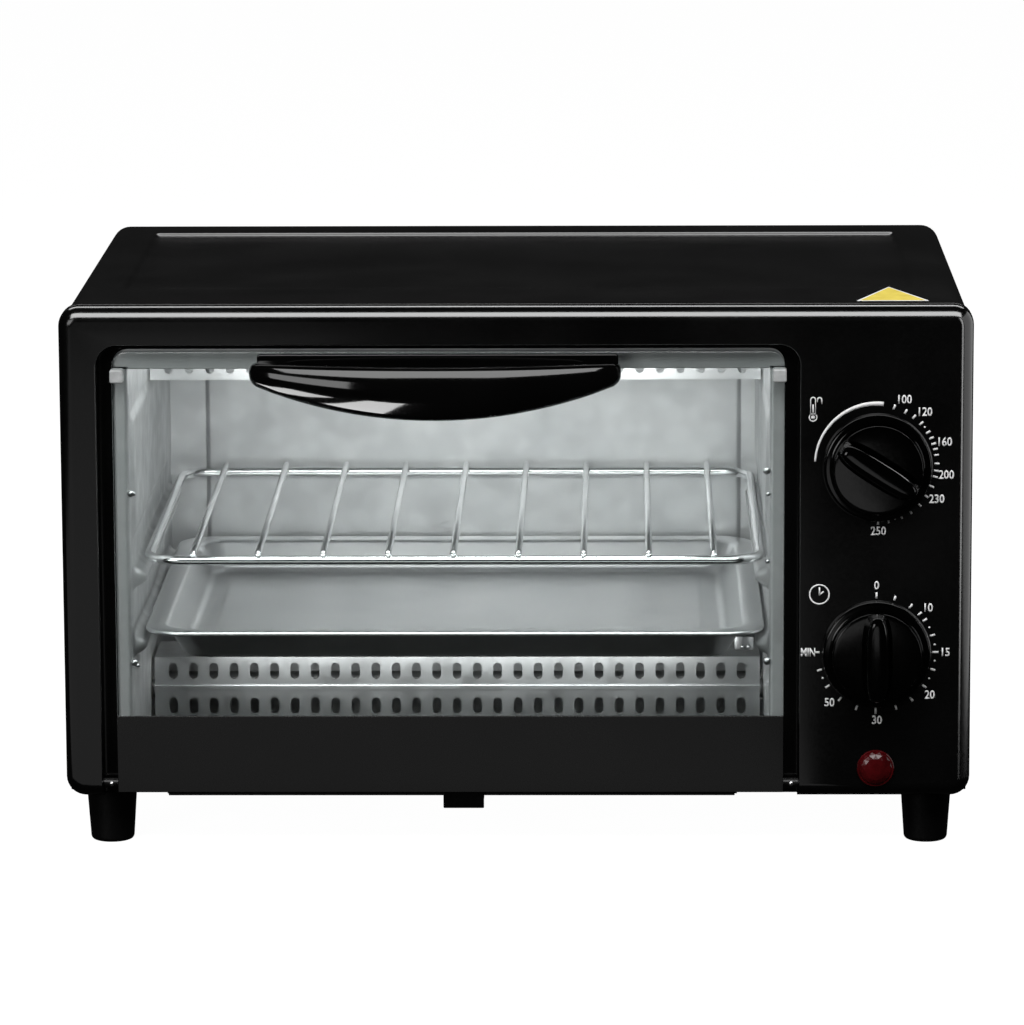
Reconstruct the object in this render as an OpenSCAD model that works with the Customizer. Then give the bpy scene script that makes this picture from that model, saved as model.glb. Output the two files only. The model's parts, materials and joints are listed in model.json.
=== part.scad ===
// Compact toaster oven with a drop-down glass door, two knobs, a wire rack,
// a baking tray and a crumb tray that slides out from under the base.
// +X runs to the right, +Y to the back and +Z up. The origin is under the middle
// of the whole object, on the surface that its feet stand on.

/* [Body] */
// Width of the front frame
body_w = 365; // [320:5:460]
// Height of the front frame, without the feet
body_h = 200; // [190:2:260]
// Depth from the face of the front frame to the rear panel
body_d = 248; // [210:2:320]
// Depth of the front frame's rim
frame_d = 14; // [13:1:20]
// Wall of the front frame
frame_wall = 2.4; // [2:0.2:3.2]
// Corner radius of the front frame, seen from the front
corner_r = 8; // [7:0.5:12]
// Rounding of the front frame's outer front edge
edge_r = 5; // [2:0.5:6]
// Sheet of the outer cover, base and rear panel
cover_t = 0.8; // [0.6:0.1:1.2]
// Step in from the front frame's outline to the cover
cover_step = 1; // [0.5:0.25:2]
// Depth of the pressed panel in the cover's top
recess_d = 1.2; // [0.6:0.2:2]
// Margin between the cover's side and its pressed panel
recess_margin = 19.5; // [15:0.5:30]

/* [Door opening] */
// Width of the frame to the left of the door opening
stile_w = 15.5; // [15.5:0.5:24]
// Width of the control panel to the right of the door opening
panel_w = 69.5; // [64:0.5:90]
// Height of the frame above the door opening
top_rail = 15.8; // [12:0.2:24]
// Gap between the door and each side of its opening
door_gap = 5.7; // [5:0.1:7]
// Gap above the door
door_gap_top = 2.2; // [1.5:0.1:4]
// Depth of the channel that the door closes into
channel_d = 9; // [8.5:0.5:10]
// Thickness of the lip at the back of that channel
lip_t = 1.5; // [1:0.1:2]

/* [Door] */
// Set-back of the door's lower band from the face of the front frame
band_setback = 0.5; // [0:0.1:1]
// Height of the door's lower band
band_h = 31.5; // [26:0.5:45]
// Gap under the door's lower band
band_lift = 2; // [1.5:0.5:3]
// Sheet of the lower band
band_t = 1.2; // [0.8:0.1:1.2]
// Thickness of the glass
glass_t = 4; // [3:0.1:4]
// Corner radius of the glass
glass_r = 6; // [4:0.5:10]
// Height of the hinge axis above the body's underside
hinge_up = 5; // [5:0.5:6]
// Distance of the hinge axis behind the face of the front frame
hinge_back = 5; // [4.5:0.25:5]
// Radius of the hinge pins
pin_r = 2; // [1.5:0.1:2.2]
// Radial running clearance of every pin and shaft
running_gap = 0.08; // [0.02:0.01:0.1]
// Gauge of the hinge arms
arm_t = 1.5; // [1:0.1:1.8]

/* [Handle] */
// Width of the handle
handle_w = 148; // [110:1:180]
// Offset of the handle's middle from the door's middle
handle_shift = -5; // [-10:1:10]
// Reach of the handle's middle in front of the front frame
handle_reach = 20; // [16:1:21]
// Reach of the handle's ends in front of the front frame
handle_end_reach = 6; // [5:0.5:8]
// Height of the handle's ends
handle_end_h = 8.6; // [6:0.2:12]
// Height of the handle's middle
handle_mid_h = 21.2; // [16:0.2:26]
// Thickness of the handle's grip, front to back
grip_t = 8; // [6:0.5:8]
// Distance of the handle's top below the top of the front frame
handle_drop = 22; // [20:0.5:40]

/* [Cavity] */
// Sheet of the oven cavity and its guards
sheet = 0.7; // [0.5:0.1:1]
// Width of the cavity's front flange beside the glass's edge
flange_w = 5.6; // [5:0.1:8]
// Drop of the cavity's roof below the top of the door
roof_drop = 8.4; // [6:0.2:14]
// Space between the cavity's back and the rear panel
back_gap = 20; // [10:1:30]
// Projection of the pressed guides on the cavity's side walls
guide_d = 6.5; // [5.5:0.5:8]
// Height of the rack's frame above the body's underside
rack_up = 94; // [90:1:104]
// Height of the tray's rim above the body's underside
tray_up = 65; // [60:1:70]
// Set-back of the rack and tray from the face of the front frame
shelf_front = 16; // [14:0.5:30]
// Set of the rack and tray to the right of the cavity's middle
shelf_shift = 1.3; // [0:0.1:1.5]
// Gap between the rack and the cavity's side walls, one side
shelf_gap = 2.8; // [2.2:0.1:3.2]
// Depth of the element guards, front to back
guard_d = 32; // [28:1:50]
// Height of the lower guard above the body's underside
guard_h = 36; // [34:1:44]
// Drop of the upper guard below the roof
upper_guard_h = 19.6; // [16:0.2:22]
// Pitch of the guards' slots
slot_pitch = 8.53; // [7:0.1:12]
// Width of the guards' slots
slot_w = 3.7; // [2.5:0.1:5]
// Length of the guards' slots
slot_l = 7; // [5.5:0.1:10]
// Radius of the heating tubes
tube_r = 4; // [3:0.25:4.5]

/* [Rack and trays] */
// Radius of the rack's frame rod
rod_r = 2; // [1.5:0.1:2.4]
// Radius of the rack's cross wires
wire_r = 1.4; // [1:0.1:1.6]
// Pitch of the rack's cross wires
wire_pitch = 26.3; // [18:0.1:34]
// Depth of the baking tray
tray_h = 14; // [8:1:20]
// Width of the baking tray's rim
tray_rim = 9; // [8:0.5:14]
// Inward lean of the baking tray's walls over their height
tray_lean = 6; // [2:0.5:8]
// Width of the crumb tray
crumb_w = 230; // [150:5:240]
// Width of the crumb tray's pull
crumb_pull_w = 16.5; // [12:0.5:40]
// Drop of the crumb tray's pull below the body's underside
crumb_pull_drop = 7.6; // [5:0.2:10]

/* [Controls] */
// Distance of the knobs' axes from the right side of the front frame
knob_in = 38.2; // [34:0.2:45]
// Height of the temperature knob's axis above the body's underside
temp_up = 135.3; // [120:0.5:150]
// Height of the timer knob's axis above the body's underside
timer_up = 59.3; // [55:0.5:70]
// Radius of the knobs' skirts
knob_r = 22; // [16:0.5:22]
// Projection of the knobs in front of the front frame
knob_h = 16; // [12:0.5:18]
// Radius of the control shafts
shaft_r = 3; // [2.5:0.1:4]
// Direction in which the temperature knob points, clockwise from the top
temp_angle = 121; // [0:1:180]
// Radius of the indicator lens
lens_r = 7.5; // [5:0.5:9]
// Height of the indicator lens above the body's underside
lens_up = 12.2; // [11:0.2:14]

/* [Feet and gland] */
// Radius of a foot at its top
foot_r = 10.3; // [8:0.1:12]
// Radius of a foot at the floor
foot_tip_r = 8.8; // [7:0.1:11]
// Height of the feet
foot_h = 23; // [22:1:40]
// Distance of the feet's axes from the sides and from the face
foot_in = 16.5; // [15:0.5:30]
// Distance of the front feet's axes from the face of the front frame
foot_back = 26; // [26:1:45]
// Radius of the hole through the cord gland
gland_bore_r = 3.75; // [3:0.05:4.5]
// Projection of the cord gland behind the rear panel
gland_reach = 6; // [4:1:12]

/* [Hidden] */
$fn = 64;
tiny = 0.02; // overrun of a cut past the face that it opens
z0 = foot_h; // underside of the body
z1 = z0 + body_h; // top of the front frame
half_w = body_w / 2;
face_y = -(body_d + gland_reach - handle_reach) / 2; // the front frame's face in the part's own frame

open_x0 = -half_w + stile_w; // door opening
open_x1 = half_w - panel_w;
open_z1 = z1 - top_rail;
door_x0 = open_x0 + door_gap; // door
door_x1 = open_x1 - door_gap;
door_z0 = z0 + band_lift;
door_z1 = open_z1 - door_gap_top;
door_cx = (door_x0 + door_x1) / 2;
band_z1 = door_z0 + band_h;
glass_y0 = band_setback + band_t; // front and back of the glass
glass_y1 = glass_y0 + glass_t;
strip_t = 1; // sheet of the strip behind the glass
hinge_z = z0 + hinge_up;
pin_out = 3.5; // length of a hinge pin inside the frame's boss
boss_l = 4.5; // length of that boss along the pin

flange_y = channel_d + lip_t; // cavity
cav_x0 = door_x0 + flange_w;
cav_x1 = door_x1 - flange_w;
cav_cx = (cav_x0 + cav_x1) / 2;
cav_y1 = body_d - back_gap;
roof_z = door_z1 - roof_drop;
base_z = z0 + cover_t; // top of the base plate
flange_out = 4.6; // part of the flange that lies behind the frame's lip
guard_y = (flange_y + cav_y1 - guard_d) / 2; // front of both guards
tube_ys = [guard_y + guard_d * 0.27, guard_y + guard_d * 0.73];
low_tube_z = z0 + guard_h * 0.58;
high_tube_z = roof_z - 9;
bush_r = tube_r + 2.4; // ceramic bushes at the tubes' ends
tube_out = 10; // length of a tube outside the cavity

shelf_x0 = cav_x0 + shelf_gap + shelf_shift; // rack and tray
shelf_x1 = cav_x1 - shelf_gap + shelf_shift;
shelf_y1 = cav_y1 - 5;
rack_z = z0 + rack_up;
tray_z = z0 + tray_up;
tray_t = 0.8; // sheet of the tray
rim_t = 1.4; // thickness of its rolled rim
play = 0.3; // gap under a shelf in its guides
corner_rod_r = 14; // bend of the rack's corners
press_back = 2; // projection of the cavity back's pressed panel

side_x = half_w - cover_step; // outer side of the cover
inner_x = side_x - cover_t; // inner side of the cover
slack = 0.1; // assembly gap of the base and rear panel inside the cover
top_z = z1 - cover_step;

knob_x = half_w - knob_in;
temp_z = z0 + temp_up;
timer_z = z0 + timer_up;
lens_z = z0 + lens_up;
bracket_y = 7.5; // front of the control bracket
bracket_t = 1;
control_y = bracket_y + bracket_t; // front of the thermostat and timer bodies
knob_gap = 0.8; // gap between a knob's skirt and the frame
gland_x = half_w - 34;
gland_z = z0 + 26;

crumb_z = z0 - 2.6; // underside of the crumb tray
crumb_y0 = 14.5;
crumb_y1 = body_d - 38;
crumb_pull_x = cav_cx + 5;

// ---- shapes that repeat ----

// Radius of an arc from its chord and its rise
function arc_r(chord, rise) = (chord * chord / 4 + rise * rise) / (2 * rise);

// Puts a piece, drawn from the frame's face, into the part's own frame
module placed() translate([0, face_y, 0]) children();

module block(x, y, z) translate([x[0], y[0], z[0]]) cube([x[1] - x[0], y[1] - y[0], z[1] - z[0]]);

// Extrudes an X-Z outline from y[0] to y[1]
module slab(y) translate([0, y[1], 0]) rotate([90, 0, 0]) linear_extrude(y[1] - y[0]) children();

// Extrudes a Y-Z outline from x[0] to x[1]
module side_slab(x) translate([x[0], 0, 0]) rotate([90, 0, 90]) linear_extrude(x[1] - x[0]) children();

module rectangle(x, z) translate([x[0], z[0]]) square([x[1] - x[0], z[1] - z[0]]);

module rounded(x, z, r) {
    rectangle([x[0] + r, x[1] - r], z);
    rectangle(x, [z[0] + r, z[1] - r]);
    for (cx = [x[0] + r, x[1] - r], cz = [z[0] + r, z[1] - r]) translate([cx, cz]) circle(r);
}

// A rounded outline with an open foot: its lower corners lie far below the body
module arch(x, top, r) rounded(x, [z0 - 40, top], r);

module below_body() rectangle([-body_w, body_w], [z0 - 90, z0]);

module rod_y(x, y, z, r) translate([x, y[0], z]) rotate([-90, 0, 0]) cylinder(r = r, h = y[1] - y[0]);

module rod_x(x, y, z, r) translate([x[0], y, z]) rotate([0, 90, 0]) cylinder(r = r, h = x[1] - x[0]);

// An upright slot with round ends, in an X-Z or Y-Z outline
module slot(u, v, w, l) {
    rectangle([u - w / 2, u + w / 2], [v - l / 2 + w / 2, v + l / 2 - w / 2]);
    for (e = [-1, 1]) translate([u, v + e * (l - w) / 2]) circle(w / 2);
}

// ---- casing ----

// A plate whose front edge is rounded all round: flat core, edge cylinders and corner tori
module soft_plate(x, z, depth, r, e) {
    inner = r - e;
    slab([e, depth]) rounded(x, z, r);
    slab([0, e]) rounded([x[0] + e, x[1] - e], [z[0] + e, z[1] - e], inner);
    for (cz = [z[0] + e, z[1] - e]) rod_x([x[0] + r, x[1] - r], e, cz, e);
    for (cx = [x[0] + e, x[1] - e]) translate([cx, e, z[0] + r]) cylinder(r = e, h = z[1] - z[0] - 2 * r);
    for (cx = [x[0] + r, x[1] - r], cz = [z[0] + r, z[1] - r])
        translate([cx, e, cz]) rotate([90, 0, 0]) rotate_extrude() intersection() {
            translate([inner, 0]) circle(e);
            translate([0, -e]) square([r, 2 * e]);
        }
}

module front_bezel() color("#141416") placed() difference() {
    union() {
        difference() {
            soft_plate([-half_w, half_w], [z0, z1], frame_d, corner_r, edge_r);
            slab([frame_wall, frame_d + 1]) rounded(
                [-half_w + frame_wall, half_w - frame_wall], [z0 + frame_wall, z1 - frame_wall], corner_r - frame_wall);
            slab([-1, frame_d + 1]) arch([open_x0, open_x1], open_z1, corner_r);
        }
        slab([frame_wall / 2, frame_d]) difference() {
            arch([open_x0 - frame_wall, open_x1 + frame_wall], open_z1 + frame_wall, corner_r + frame_wall);
            arch([open_x0, open_x1], open_z1, corner_r);
            below_body();
        }
        slab([channel_d, flange_y]) difference() {
            arch([open_x0 - frame_wall / 2, open_x1 + frame_wall / 2], open_z1 + frame_wall / 2, corner_r);
            arch([door_x0, door_x1], door_z1, glass_r);
            below_body();
        }
        for (x = [[open_x0 - boss_l, open_x0], [open_x1, open_x1 + boss_l]])
            block(x, [frame_wall / 2, channel_d], [z0, hinge_z + 6]);
        for (z = bracket_screw_zs) rod_y(knob_x, [frame_wall / 2, bracket_y], z, 3.6);
    }
    for (x = [[open_x0 - pin_out - 0.4, open_x0 + 1], [open_x1 - 1, open_x1 + pin_out + 0.4]])
        rod_x(x, hinge_back, hinge_z, pin_r + running_gap);
    for (z = [temp_z, timer_z]) rod_y(knob_x, [-1, frame_wall + 1], z, shaft_r + 1);
    rod_y(knob_x, [-1, frame_wall + 1], lens_z, lens_r - 1.5);
    for (z = bracket_screw_zs) rod_y(knob_x, [frame_wall, bracket_y + 1], z, 1.25);
}

recess_x = [-side_x + recess_margin, side_x - recess_margin];
recess_y = [frame_d + 44, body_d - 22];

module top_cover() color("#161618") placed() {
    difference() {
        slab([frame_d, body_d]) difference() {
            arch([-side_x, side_x], top_z, corner_r);
            arch([-inner_x, inner_x], top_z - cover_t, corner_r - cover_t);
            rectangle([-body_w, body_w], [z0 - 90, z0 + slack]);
        }
        block(recess_x, recess_y, [top_z - 2 * cover_t, top_z + 1]);
        for (side = [-1, 1], i = [0:vent_count - 1])
            side_slab([side * side_x - 2, side * side_x + 2]) slot(vent_y0 + i * 11, vent_z, 3, 26);
    }
    difference() {
        block([recess_x[0] - cover_t, recess_x[1] + cover_t], [recess_y[0] - cover_t, recess_y[1] + cover_t],
            [top_z - cover_t - recess_d, top_z - cover_t + tiny]);
        block(recess_x, recess_y, [top_z - recess_d, top_z + 1]);
    }
}

vent_count = 9;
vent_y0 = body_d / 2 - (vent_count - 1) * 11 / 2;
vent_z = z1 - 42;
rear_top = top_z - cover_t - slack;
rear_screw_xz = [for (x = [-inner_x + 9, 0, inner_x - 9], z = [z0 + 9, rear_top - 9]) [x, z]];

module rear_panel() color("#1a1a1c") placed() difference() {
    slab([body_d - cover_t, body_d]) rounded([-inner_x + slack, inner_x - slack], [base_z, rear_top],
        corner_r - cover_t);
    for (i = [0:13], z = [rear_top - 32, rear_top - 66])
        slab([body_d - 2, body_d + 1]) slot(cav_cx + (i - 6.5) * 12, z, 3.4, 24);
    rod_y(gland_x, [body_d - 2, body_d + 1], gland_z, gland_neck_r);
    for (p = rear_screw_xz) rod_y(p[0], [body_d - 2, body_d + 1], p[1], 1.6);
}

crumb_x = [cav_cx - crumb_w / 2, cav_cx + crumb_w / 2];
foot_xy = [for (x = [-half_w + foot_in, half_w - foot_in], y = [foot_back, body_d - foot_back]) [x, y]];
rail_t = 0.7; // sheet of the crumb tray's rails
rail_gap = 0.4; // gap between the crumb tray and its rails
crumb_opening = [[crumb_x[0] + 12, crumb_x[1] - 12], [crumb_y0 + 14, crumb_y1 - 10]];

module crumb_rail(x, inward) {
    outer = x - inward * (rail_gap + rail_t);
    reach = x + inward * 5;
    block([min(outer, outer + inward * rail_t), max(outer, outer + inward * rail_t)], [crumb_y0 + 8, crumb_y1],
        [crumb_z - rail_gap - rail_t, z0 + tiny]);
    block([min(outer, reach), max(outer, reach)], [crumb_y0 + 8, crumb_y1],
        [crumb_z - rail_gap - rail_t, crumb_z - rail_gap]);
}

module base_plate() color("#9c9c98") placed() difference() {
    union() {
        block([-inner_x + slack, inner_x - slack], [frame_d + slack, body_d - cover_t], [z0, base_z]);
        block([open_x0 + 0.5, open_x1 - 0.5], [flange_y + 1, frame_d + 1], [z0, base_z]);
        block([cav_x0, cav_x1], [flange_y + 1, flange_y + 1 + cover_t], [z0, z0 + 7]);
        for (x = [[-inner_x + slack, -inner_x + slack + cover_t], [inner_x - slack - cover_t, inner_x - slack]])
            block(x, [frame_d + 4, body_d - cover_t - 4], [z0, z0 + 9]);
        crumb_rail(crumb_x[0], 1);
        crumb_rail(crumb_x[1], -1);
    }
    block(crumb_opening[0], crumb_opening[1], [z0 - tiny, base_z + 1]);
    for (p = foot_xy) translate([p[0], p[1], z0 - 1]) cylinder(r = 2, h = 3);
}

// ---- feet ----

foot_well = 13; // depth of the screw's well in a foot

module foot(p) color("#101011") placed() translate([p[0], p[1], 0]) difference() {
    union() {
        translate([0, 0, 1]) cylinder(r1 = foot_tip_r, r2 = foot_r, h = foot_h - 1);
        cylinder(r1 = foot_tip_r - 0.8, r2 = foot_tip_r, h = 1);
    }
    translate([0, 0, -1]) cylinder(r = 4.5, h = foot_well + 1);
    cylinder(r = 2, h = foot_h + 1);
}

module foot_front_left() foot(foot_xy[0]);
module foot_rear_left() foot(foot_xy[1]);
module foot_front_right() foot(foot_xy[2]);
module foot_rear_right() foot(foot_xy[3]);

module foot_screws() color("silver") placed() for (p = foot_xy) translate([p[0], p[1], foot_well - 2.4]) {
    cylinder(r = 3.8, h = 2.4);
    cylinder(r = 1.8, h = z0 - foot_well + 6);
}

// ---- cavity ----

// Lowest and highest edges of the pressed guides on each side wall
guide_zs = [
    [z0 + tray_up - 12, tray_z - rim_t - play],
    [tray_z + 15.7, rack_z - rod_r - play],
    [rack_z + rod_r + 6, roof_z - upper_guard_h]
];
guide_y = [flange_y + 8, cav_y1 - 14];
slot_top = z0 + 27; // top of the slot that a hinge arm passes through

// The left side wall, with its inner face at x = 0 and the cavity towards +X
module side_wall() difference() {
    union() {
        block([-sheet, 0], [flange_y, cav_y1 + sheet], [base_z, roof_z + sheet]);
        block([-flange_w - flange_out, 0], [flange_y, flange_y + sheet], [base_z, roof_z + sheet]);
        for (z = guide_zs) block([-tiny, guide_d], guide_y, z);
        block([-flange_w - 2, 0], [spring_y1, spring_y1 + 1.2], [hinge_z + arm_eye[1] - 4, hinge_z + arm_eye[1] + 4]);
    }
    for (z = guide_zs)
        block([-1, guide_d - sheet], [guide_y[0] + sheet, guide_y[1] - sheet], [z[0] + sheet, z[1] - sheet]);
    for (y = tube_ys, z = [low_tube_z, high_tube_z]) rod_x([-2, 1], y, z, bush_neck_r);
    block([-flange_w + 0.8 - arm_t, -flange_w + 2.2 + arm_t], [0, flange_y + 2], [z0, slot_top]);
}

bush_neck_r = tube_r + 1.2;

module cavity_left_wall() color("#b9b9b4") placed() translate([cav_x0, 0, 0]) side_wall();

module cavity_right_wall() color("#b9b9b4") placed() translate([cav_x1, 0, 0]) mirror([1, 0, 0]) side_wall();

module cavity_roof() color("#b9b9b4") placed() {
    block([cav_x0, cav_x1], [flange_y, cav_y1 + sheet], [roof_z, roof_z + sheet]);
    slab([flange_y, flange_y + sheet]) difference() {
        arch([cav_x0 - flange_w - flange_out, cav_x1 + flange_w + flange_out], open_z1 - 0.4, corner_r);
        rectangle([-body_w, body_w], [z0 - 90, roof_z + sheet]);
    }
}

module cavity_back() color("#b9b9b4") placed() difference() {
    union() {
        block([cav_x0, cav_x1], [cav_y1, cav_y1 + sheet], [base_z, roof_z]);
        block([cav_x0 + 15.5, cav_x1 - 7], [cav_y1 - press_back, cav_y1 + tiny], [z0 + 20, roof_z - 6]);
    }
    block([cav_x0 + 15.5 + sheet, cav_x1 - 7 - sheet], [cav_y1 - press_back + sheet, cav_y1 + 2],
        [z0 + 20 + sheet, roof_z - 6 - sheet]);
}

slot_count = floor((cav_x1 - cav_x0 - 2 * slot_l) / slot_pitch) + 1;

module slot_row(z) for (i = [0:slot_count - 1])
    slot(cav_cx + (i - (slot_count - 1) / 2) * slot_pitch, z, slot_w, slot_l);

guard_x = [cav_x0 + 1.5, cav_x1 - 1.5];
crease_z = z0 + 23; // the fold between the lower guard's two rows of slots
crease_d = 1.2;

module lower_guard() color("#c4c4c0") placed() difference() {
    union() {
        difference() {
            block(guard_x, [guard_y, guard_y + guard_d], [base_z, z0 + guard_h]);
            block([guard_x[0] - 1, guard_x[1] + 1], [guard_y + sheet, guard_y + guard_d - sheet],
                [base_z - 1, z0 + guard_h - sheet]);
        }
        block(guard_x, [guard_y - crease_d, guard_y + tiny], [crease_z - 0.8, crease_z + 0.8]);
    }
    slab([guard_y - 1, guard_y + guard_d + 1]) {
        slot_row(z0 + 30);
        slot_row(z0 + 15);
    }
}

module upper_guard() color("#c4c4c0") placed() difference() {
    block(guard_x, [guard_y, guard_y + guard_d], [roof_z - upper_guard_h, roof_z]);
    block([guard_x[0] - 1, guard_x[1] + 1], [guard_y + sheet, guard_y + guard_d - sheet],
        [roof_z - upper_guard_h - 1, roof_z + 1]);
    slab([guard_y - 1, guard_y + guard_d + 1]) slot_row(roof_z - upper_guard_h + 2.6 + slot_l / 2);
}

module element(y, z) color("#8f8a84") placed() {
    rod_x([cav_x0 - tube_out, cav_x1 + tube_out], y, z, tube_r);
    for (x = [[cav_x0 - tube_out - 9, cav_x0 - tube_out + tiny], [cav_x1 + tube_out - tiny, cav_x1 + tube_out + 9]])
        rod_x(x, y, z, 1.5);
}

module lower_element_front() element(tube_ys[0], low_tube_z);
module lower_element_rear() element(tube_ys[1], low_tube_z);
module upper_element_front() element(tube_ys[0], high_tube_z);
module upper_element_rear() element(tube_ys[1], high_tube_z);

// Ceramic bushes: a collar outside the wall and a neck through it
module element_bushes() color("#e6e2d8") placed() for (y = tube_ys, z = [low_tube_z, high_tube_z]) difference() {
    union() for (side = [-1, 1]) {
        wall = side < 0 ? cav_x0 - sheet : cav_x1 + sheet; // outer face of the wall
        rod_x([min(wall, wall + side * 6), max(wall, wall + side * 6)], y, z, bush_r);
        rod_x([min(wall, wall - side * (sheet + 0.2)), max(wall, wall - side * (sheet + 0.2))], y, z, bush_neck_r);
    }
    rod_x([cav_x0 - 20, cav_x1 + 20], y, z, tube_r);
}

// ---- controls behind the panel ----

bracket_screw_zs = [(temp_z + timer_z) / 2 + 12, (temp_z + timer_z) / 2 - 12];
bracket_w = 44;
control_w = 36;
bracket_z = [timer_z - 30, temp_z + 30];

module control_bracket() color("#a8a8a4") placed() difference() {
    block([knob_x - bracket_w / 2, knob_x + bracket_w / 2], [bracket_y, control_y], bracket_z);
    for (z = [temp_z, timer_z]) rod_y(knob_x, [0, 20], z, shaft_r + 3.2);
    for (z = bracket_screw_zs) rod_y(knob_x, [0, 20], z, 1.8);
}

module control_screws() color("silver") placed() for (z = bracket_screw_zs) {
    rod_y(knob_x, [frame_wall + 0.5, control_y], z, 1.25);
    rod_y(knob_x, [control_y, control_y + 2], z, 3);
}

// A control's case with the bush that its shaft turns in
module control_case(z, depth, h) difference() {
    union() {
        block([knob_x - control_w / 2, knob_x + control_w / 2], [control_y, control_y + depth], [z - h / 2, z + h / 2]);
        rod_y(knob_x, [frame_wall + 1, control_y + tiny], z, shaft_r + 2.8);
    }
    rod_y(knob_x, [0, control_y + shaft_in + 0.3], z, shaft_r + running_gap);
}

shaft_in = 10; // length of a shaft inside its case

thermostat_d = 18; // depth of the thermostat's case
timer_d = 30; // depth of the timer's case

module thermostat_body() color("#d9d4c6") placed() control_case(temp_z, thermostat_d, 40);

module timer_body() color("#c9c9c4") placed() control_case(timer_z, timer_d, 44);

module timer_bell() color("#c8ccd0") placed() translate([knob_x, control_y + timer_d, timer_z]) rotate([-90, 0, 0])
    difference() {
        union() {
            cylinder(r = 14, h = 5);
            translate([0, 0, 5]) cylinder(r1 = 14, r2 = 9, h = 4);
        }
        translate([0, 0, -tiny]) cylinder(r = 13, h = 5);
        translate([0, 0, 5 - 2 * tiny]) cylinder(r1 = 13, r2 = 8.4, h = 3);
    }

lens_reach = 3.4; // projection of the lens's dome
lens_barrel_r = lens_r - 1.6;
lens_barrel_y1 = frame_wall + 12; // back of the barrel that snaps through the frame
lamp_r = lens_barrel_r - 1.5;

module neon_lamp() color("#e8a878") placed() {
    rod_y(knob_x, [frame_wall + 4, lens_barrel_y1 + 6], lens_z, lamp_r);
    for (x = [-1.5, 1.5]) rod_y(knob_x + x, [lens_barrel_y1 + 5, lens_barrel_y1 + 16], lens_z, 0.6);
}

module indicator_lens() color("#7a0f12") placed() difference() {
    union() {
        translate([knob_x, 0, lens_z]) rotate([90, 0, 0]) intersection() {
            cylinder(r = lens_r, h = lens_reach);
            translate([0, 0, lens_reach - lens_ball_r]) sphere(lens_ball_r);
        }
        rod_y(knob_x, [-tiny, lens_barrel_y1], lens_z, lens_barrel_r);
    }
    rod_y(knob_x, [frame_wall, lens_barrel_y1 + 1], lens_z, lamp_r);
}

lens_ball_r = arc_r(2 * lens_r, lens_reach) + 1;

block_h = 15; // terminal block
block_x = knob_x - 20;
block_y = body_d - 70;

module terminal_block() color("#e4e0d4") placed() difference() {
    block([block_x, block_x + 34], [block_y, block_y + 18], [base_z, base_z + block_h]);
    for (i = [0:2]) translate([block_x + 6 + i * 11, block_y + 9, base_z + 5]) cylinder(r = 3, h = block_h);
}

// A lead is straight runs with a sleeve's round knuckle at each bend
module lead(points, r) for (i = [0:len(points) - 2]) {
    run = points[i + 1] - points[i];
    length = norm(run);
    translate(points[i]) {
        if (i > 0) sphere(r * 1.3);
        rotate([0, acos(run[2] / length), atan2(run[1], run[0])]) cylinder(r = r, h = length);
    }
}

lead_r = 1.4;
lead_drop_y = control_y + 50; // the leads drop behind the controls
lead_z = base_z + 20; // and run back above the base

// A lead from a control's back at (x, z) to one terminal
module control_lead(x, depth, z, terminal) lead([
    [x, control_y + depth + lead_r + slack, z], [x, lead_drop_y + terminal * 4, z],
    [x, lead_drop_y + terminal * 4, lead_z], [block_x + 6 + terminal * 11, block_y + 9, lead_z],
    [block_x + 6 + terminal * 11, block_y + 9, base_z + block_h + lead_r + slack]
], lead_r);

module internal_wiring() color("#b8442c") placed() {
    control_lead(knob_x - 8, thermostat_d, temp_z - 8, 0);
    control_lead(knob_x + 4, thermostat_d, temp_z + 4, 1);
    control_lead(knob_x + 16.5, timer_d, timer_z - 6, 2);
}

gland_neck_r = gland_bore_r + 3.25;

module cord_gland() color("#0e0e0f") placed() difference() {
    union() {
        rod_y(gland_x, [body_d, body_d + gland_reach], gland_z, gland_neck_r + 3);
        rod_y(gland_x, [body_d - cover_t - 6, body_d + tiny], gland_z, gland_neck_r - 0.02);
        rod_y(gland_x, [body_d - cover_t - 6, body_d - cover_t - 0.02], gland_z, gland_neck_r + 1);
    }
    rod_y(gland_x, [body_d - 30, body_d + gland_reach + 1], gland_z, gland_bore_r);
}

module rear_screws() color("silver") placed() for (p = rear_screw_xz) {
    rod_y(p[0], [body_d, body_d + 1.8], p[1], 3.2);
    rod_y(p[0], [body_d - 6, body_d + tiny], p[1], 1.5);
}

// A blank three-cornered label on the cover's front right corner
label_w = 29;
label_y = [frame_d + 2, frame_d + 33];
label_x = half_w - 31.5;

module blank_label() color("#d9b927") placed() translate([0, 0, top_z]) linear_extrude(0.15)
    polygon([[label_x - label_w / 2, label_y[0]], [label_x + label_w / 2, label_y[0]], [label_x, label_y[1]]]);

// ---- door ----

handle_x = door_cx + handle_shift;
handle_z1 = z1 - handle_drop;
handle_screw_x = [handle_x - handle_w / 2 + 9, handle_x + handle_w / 2 - 9];
handle_screw_z = handle_z1 - handle_end_h / 2;
screw_r = 1.9;

module door_glass() color("#c7d3d6", 0.35) placed() difference() {
    slab([glass_y0, glass_y1]) difference() {
        rounded([door_x0, door_x1], [hinge_z, door_z1], glass_r);
        rectangle([door_x0 - 1, door_x1 + 1], [hinge_z - 1, hinge_z + pin_r + 2]);
    }
    for (x = handle_screw_x) rod_y(x, [0, 10], handle_screw_z, screw_r + 0.6);
}

pin_in = 6; // length of a hinge pin inside the band's end block
pin_wall = 0.6; // wall of that block behind the pin

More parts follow.
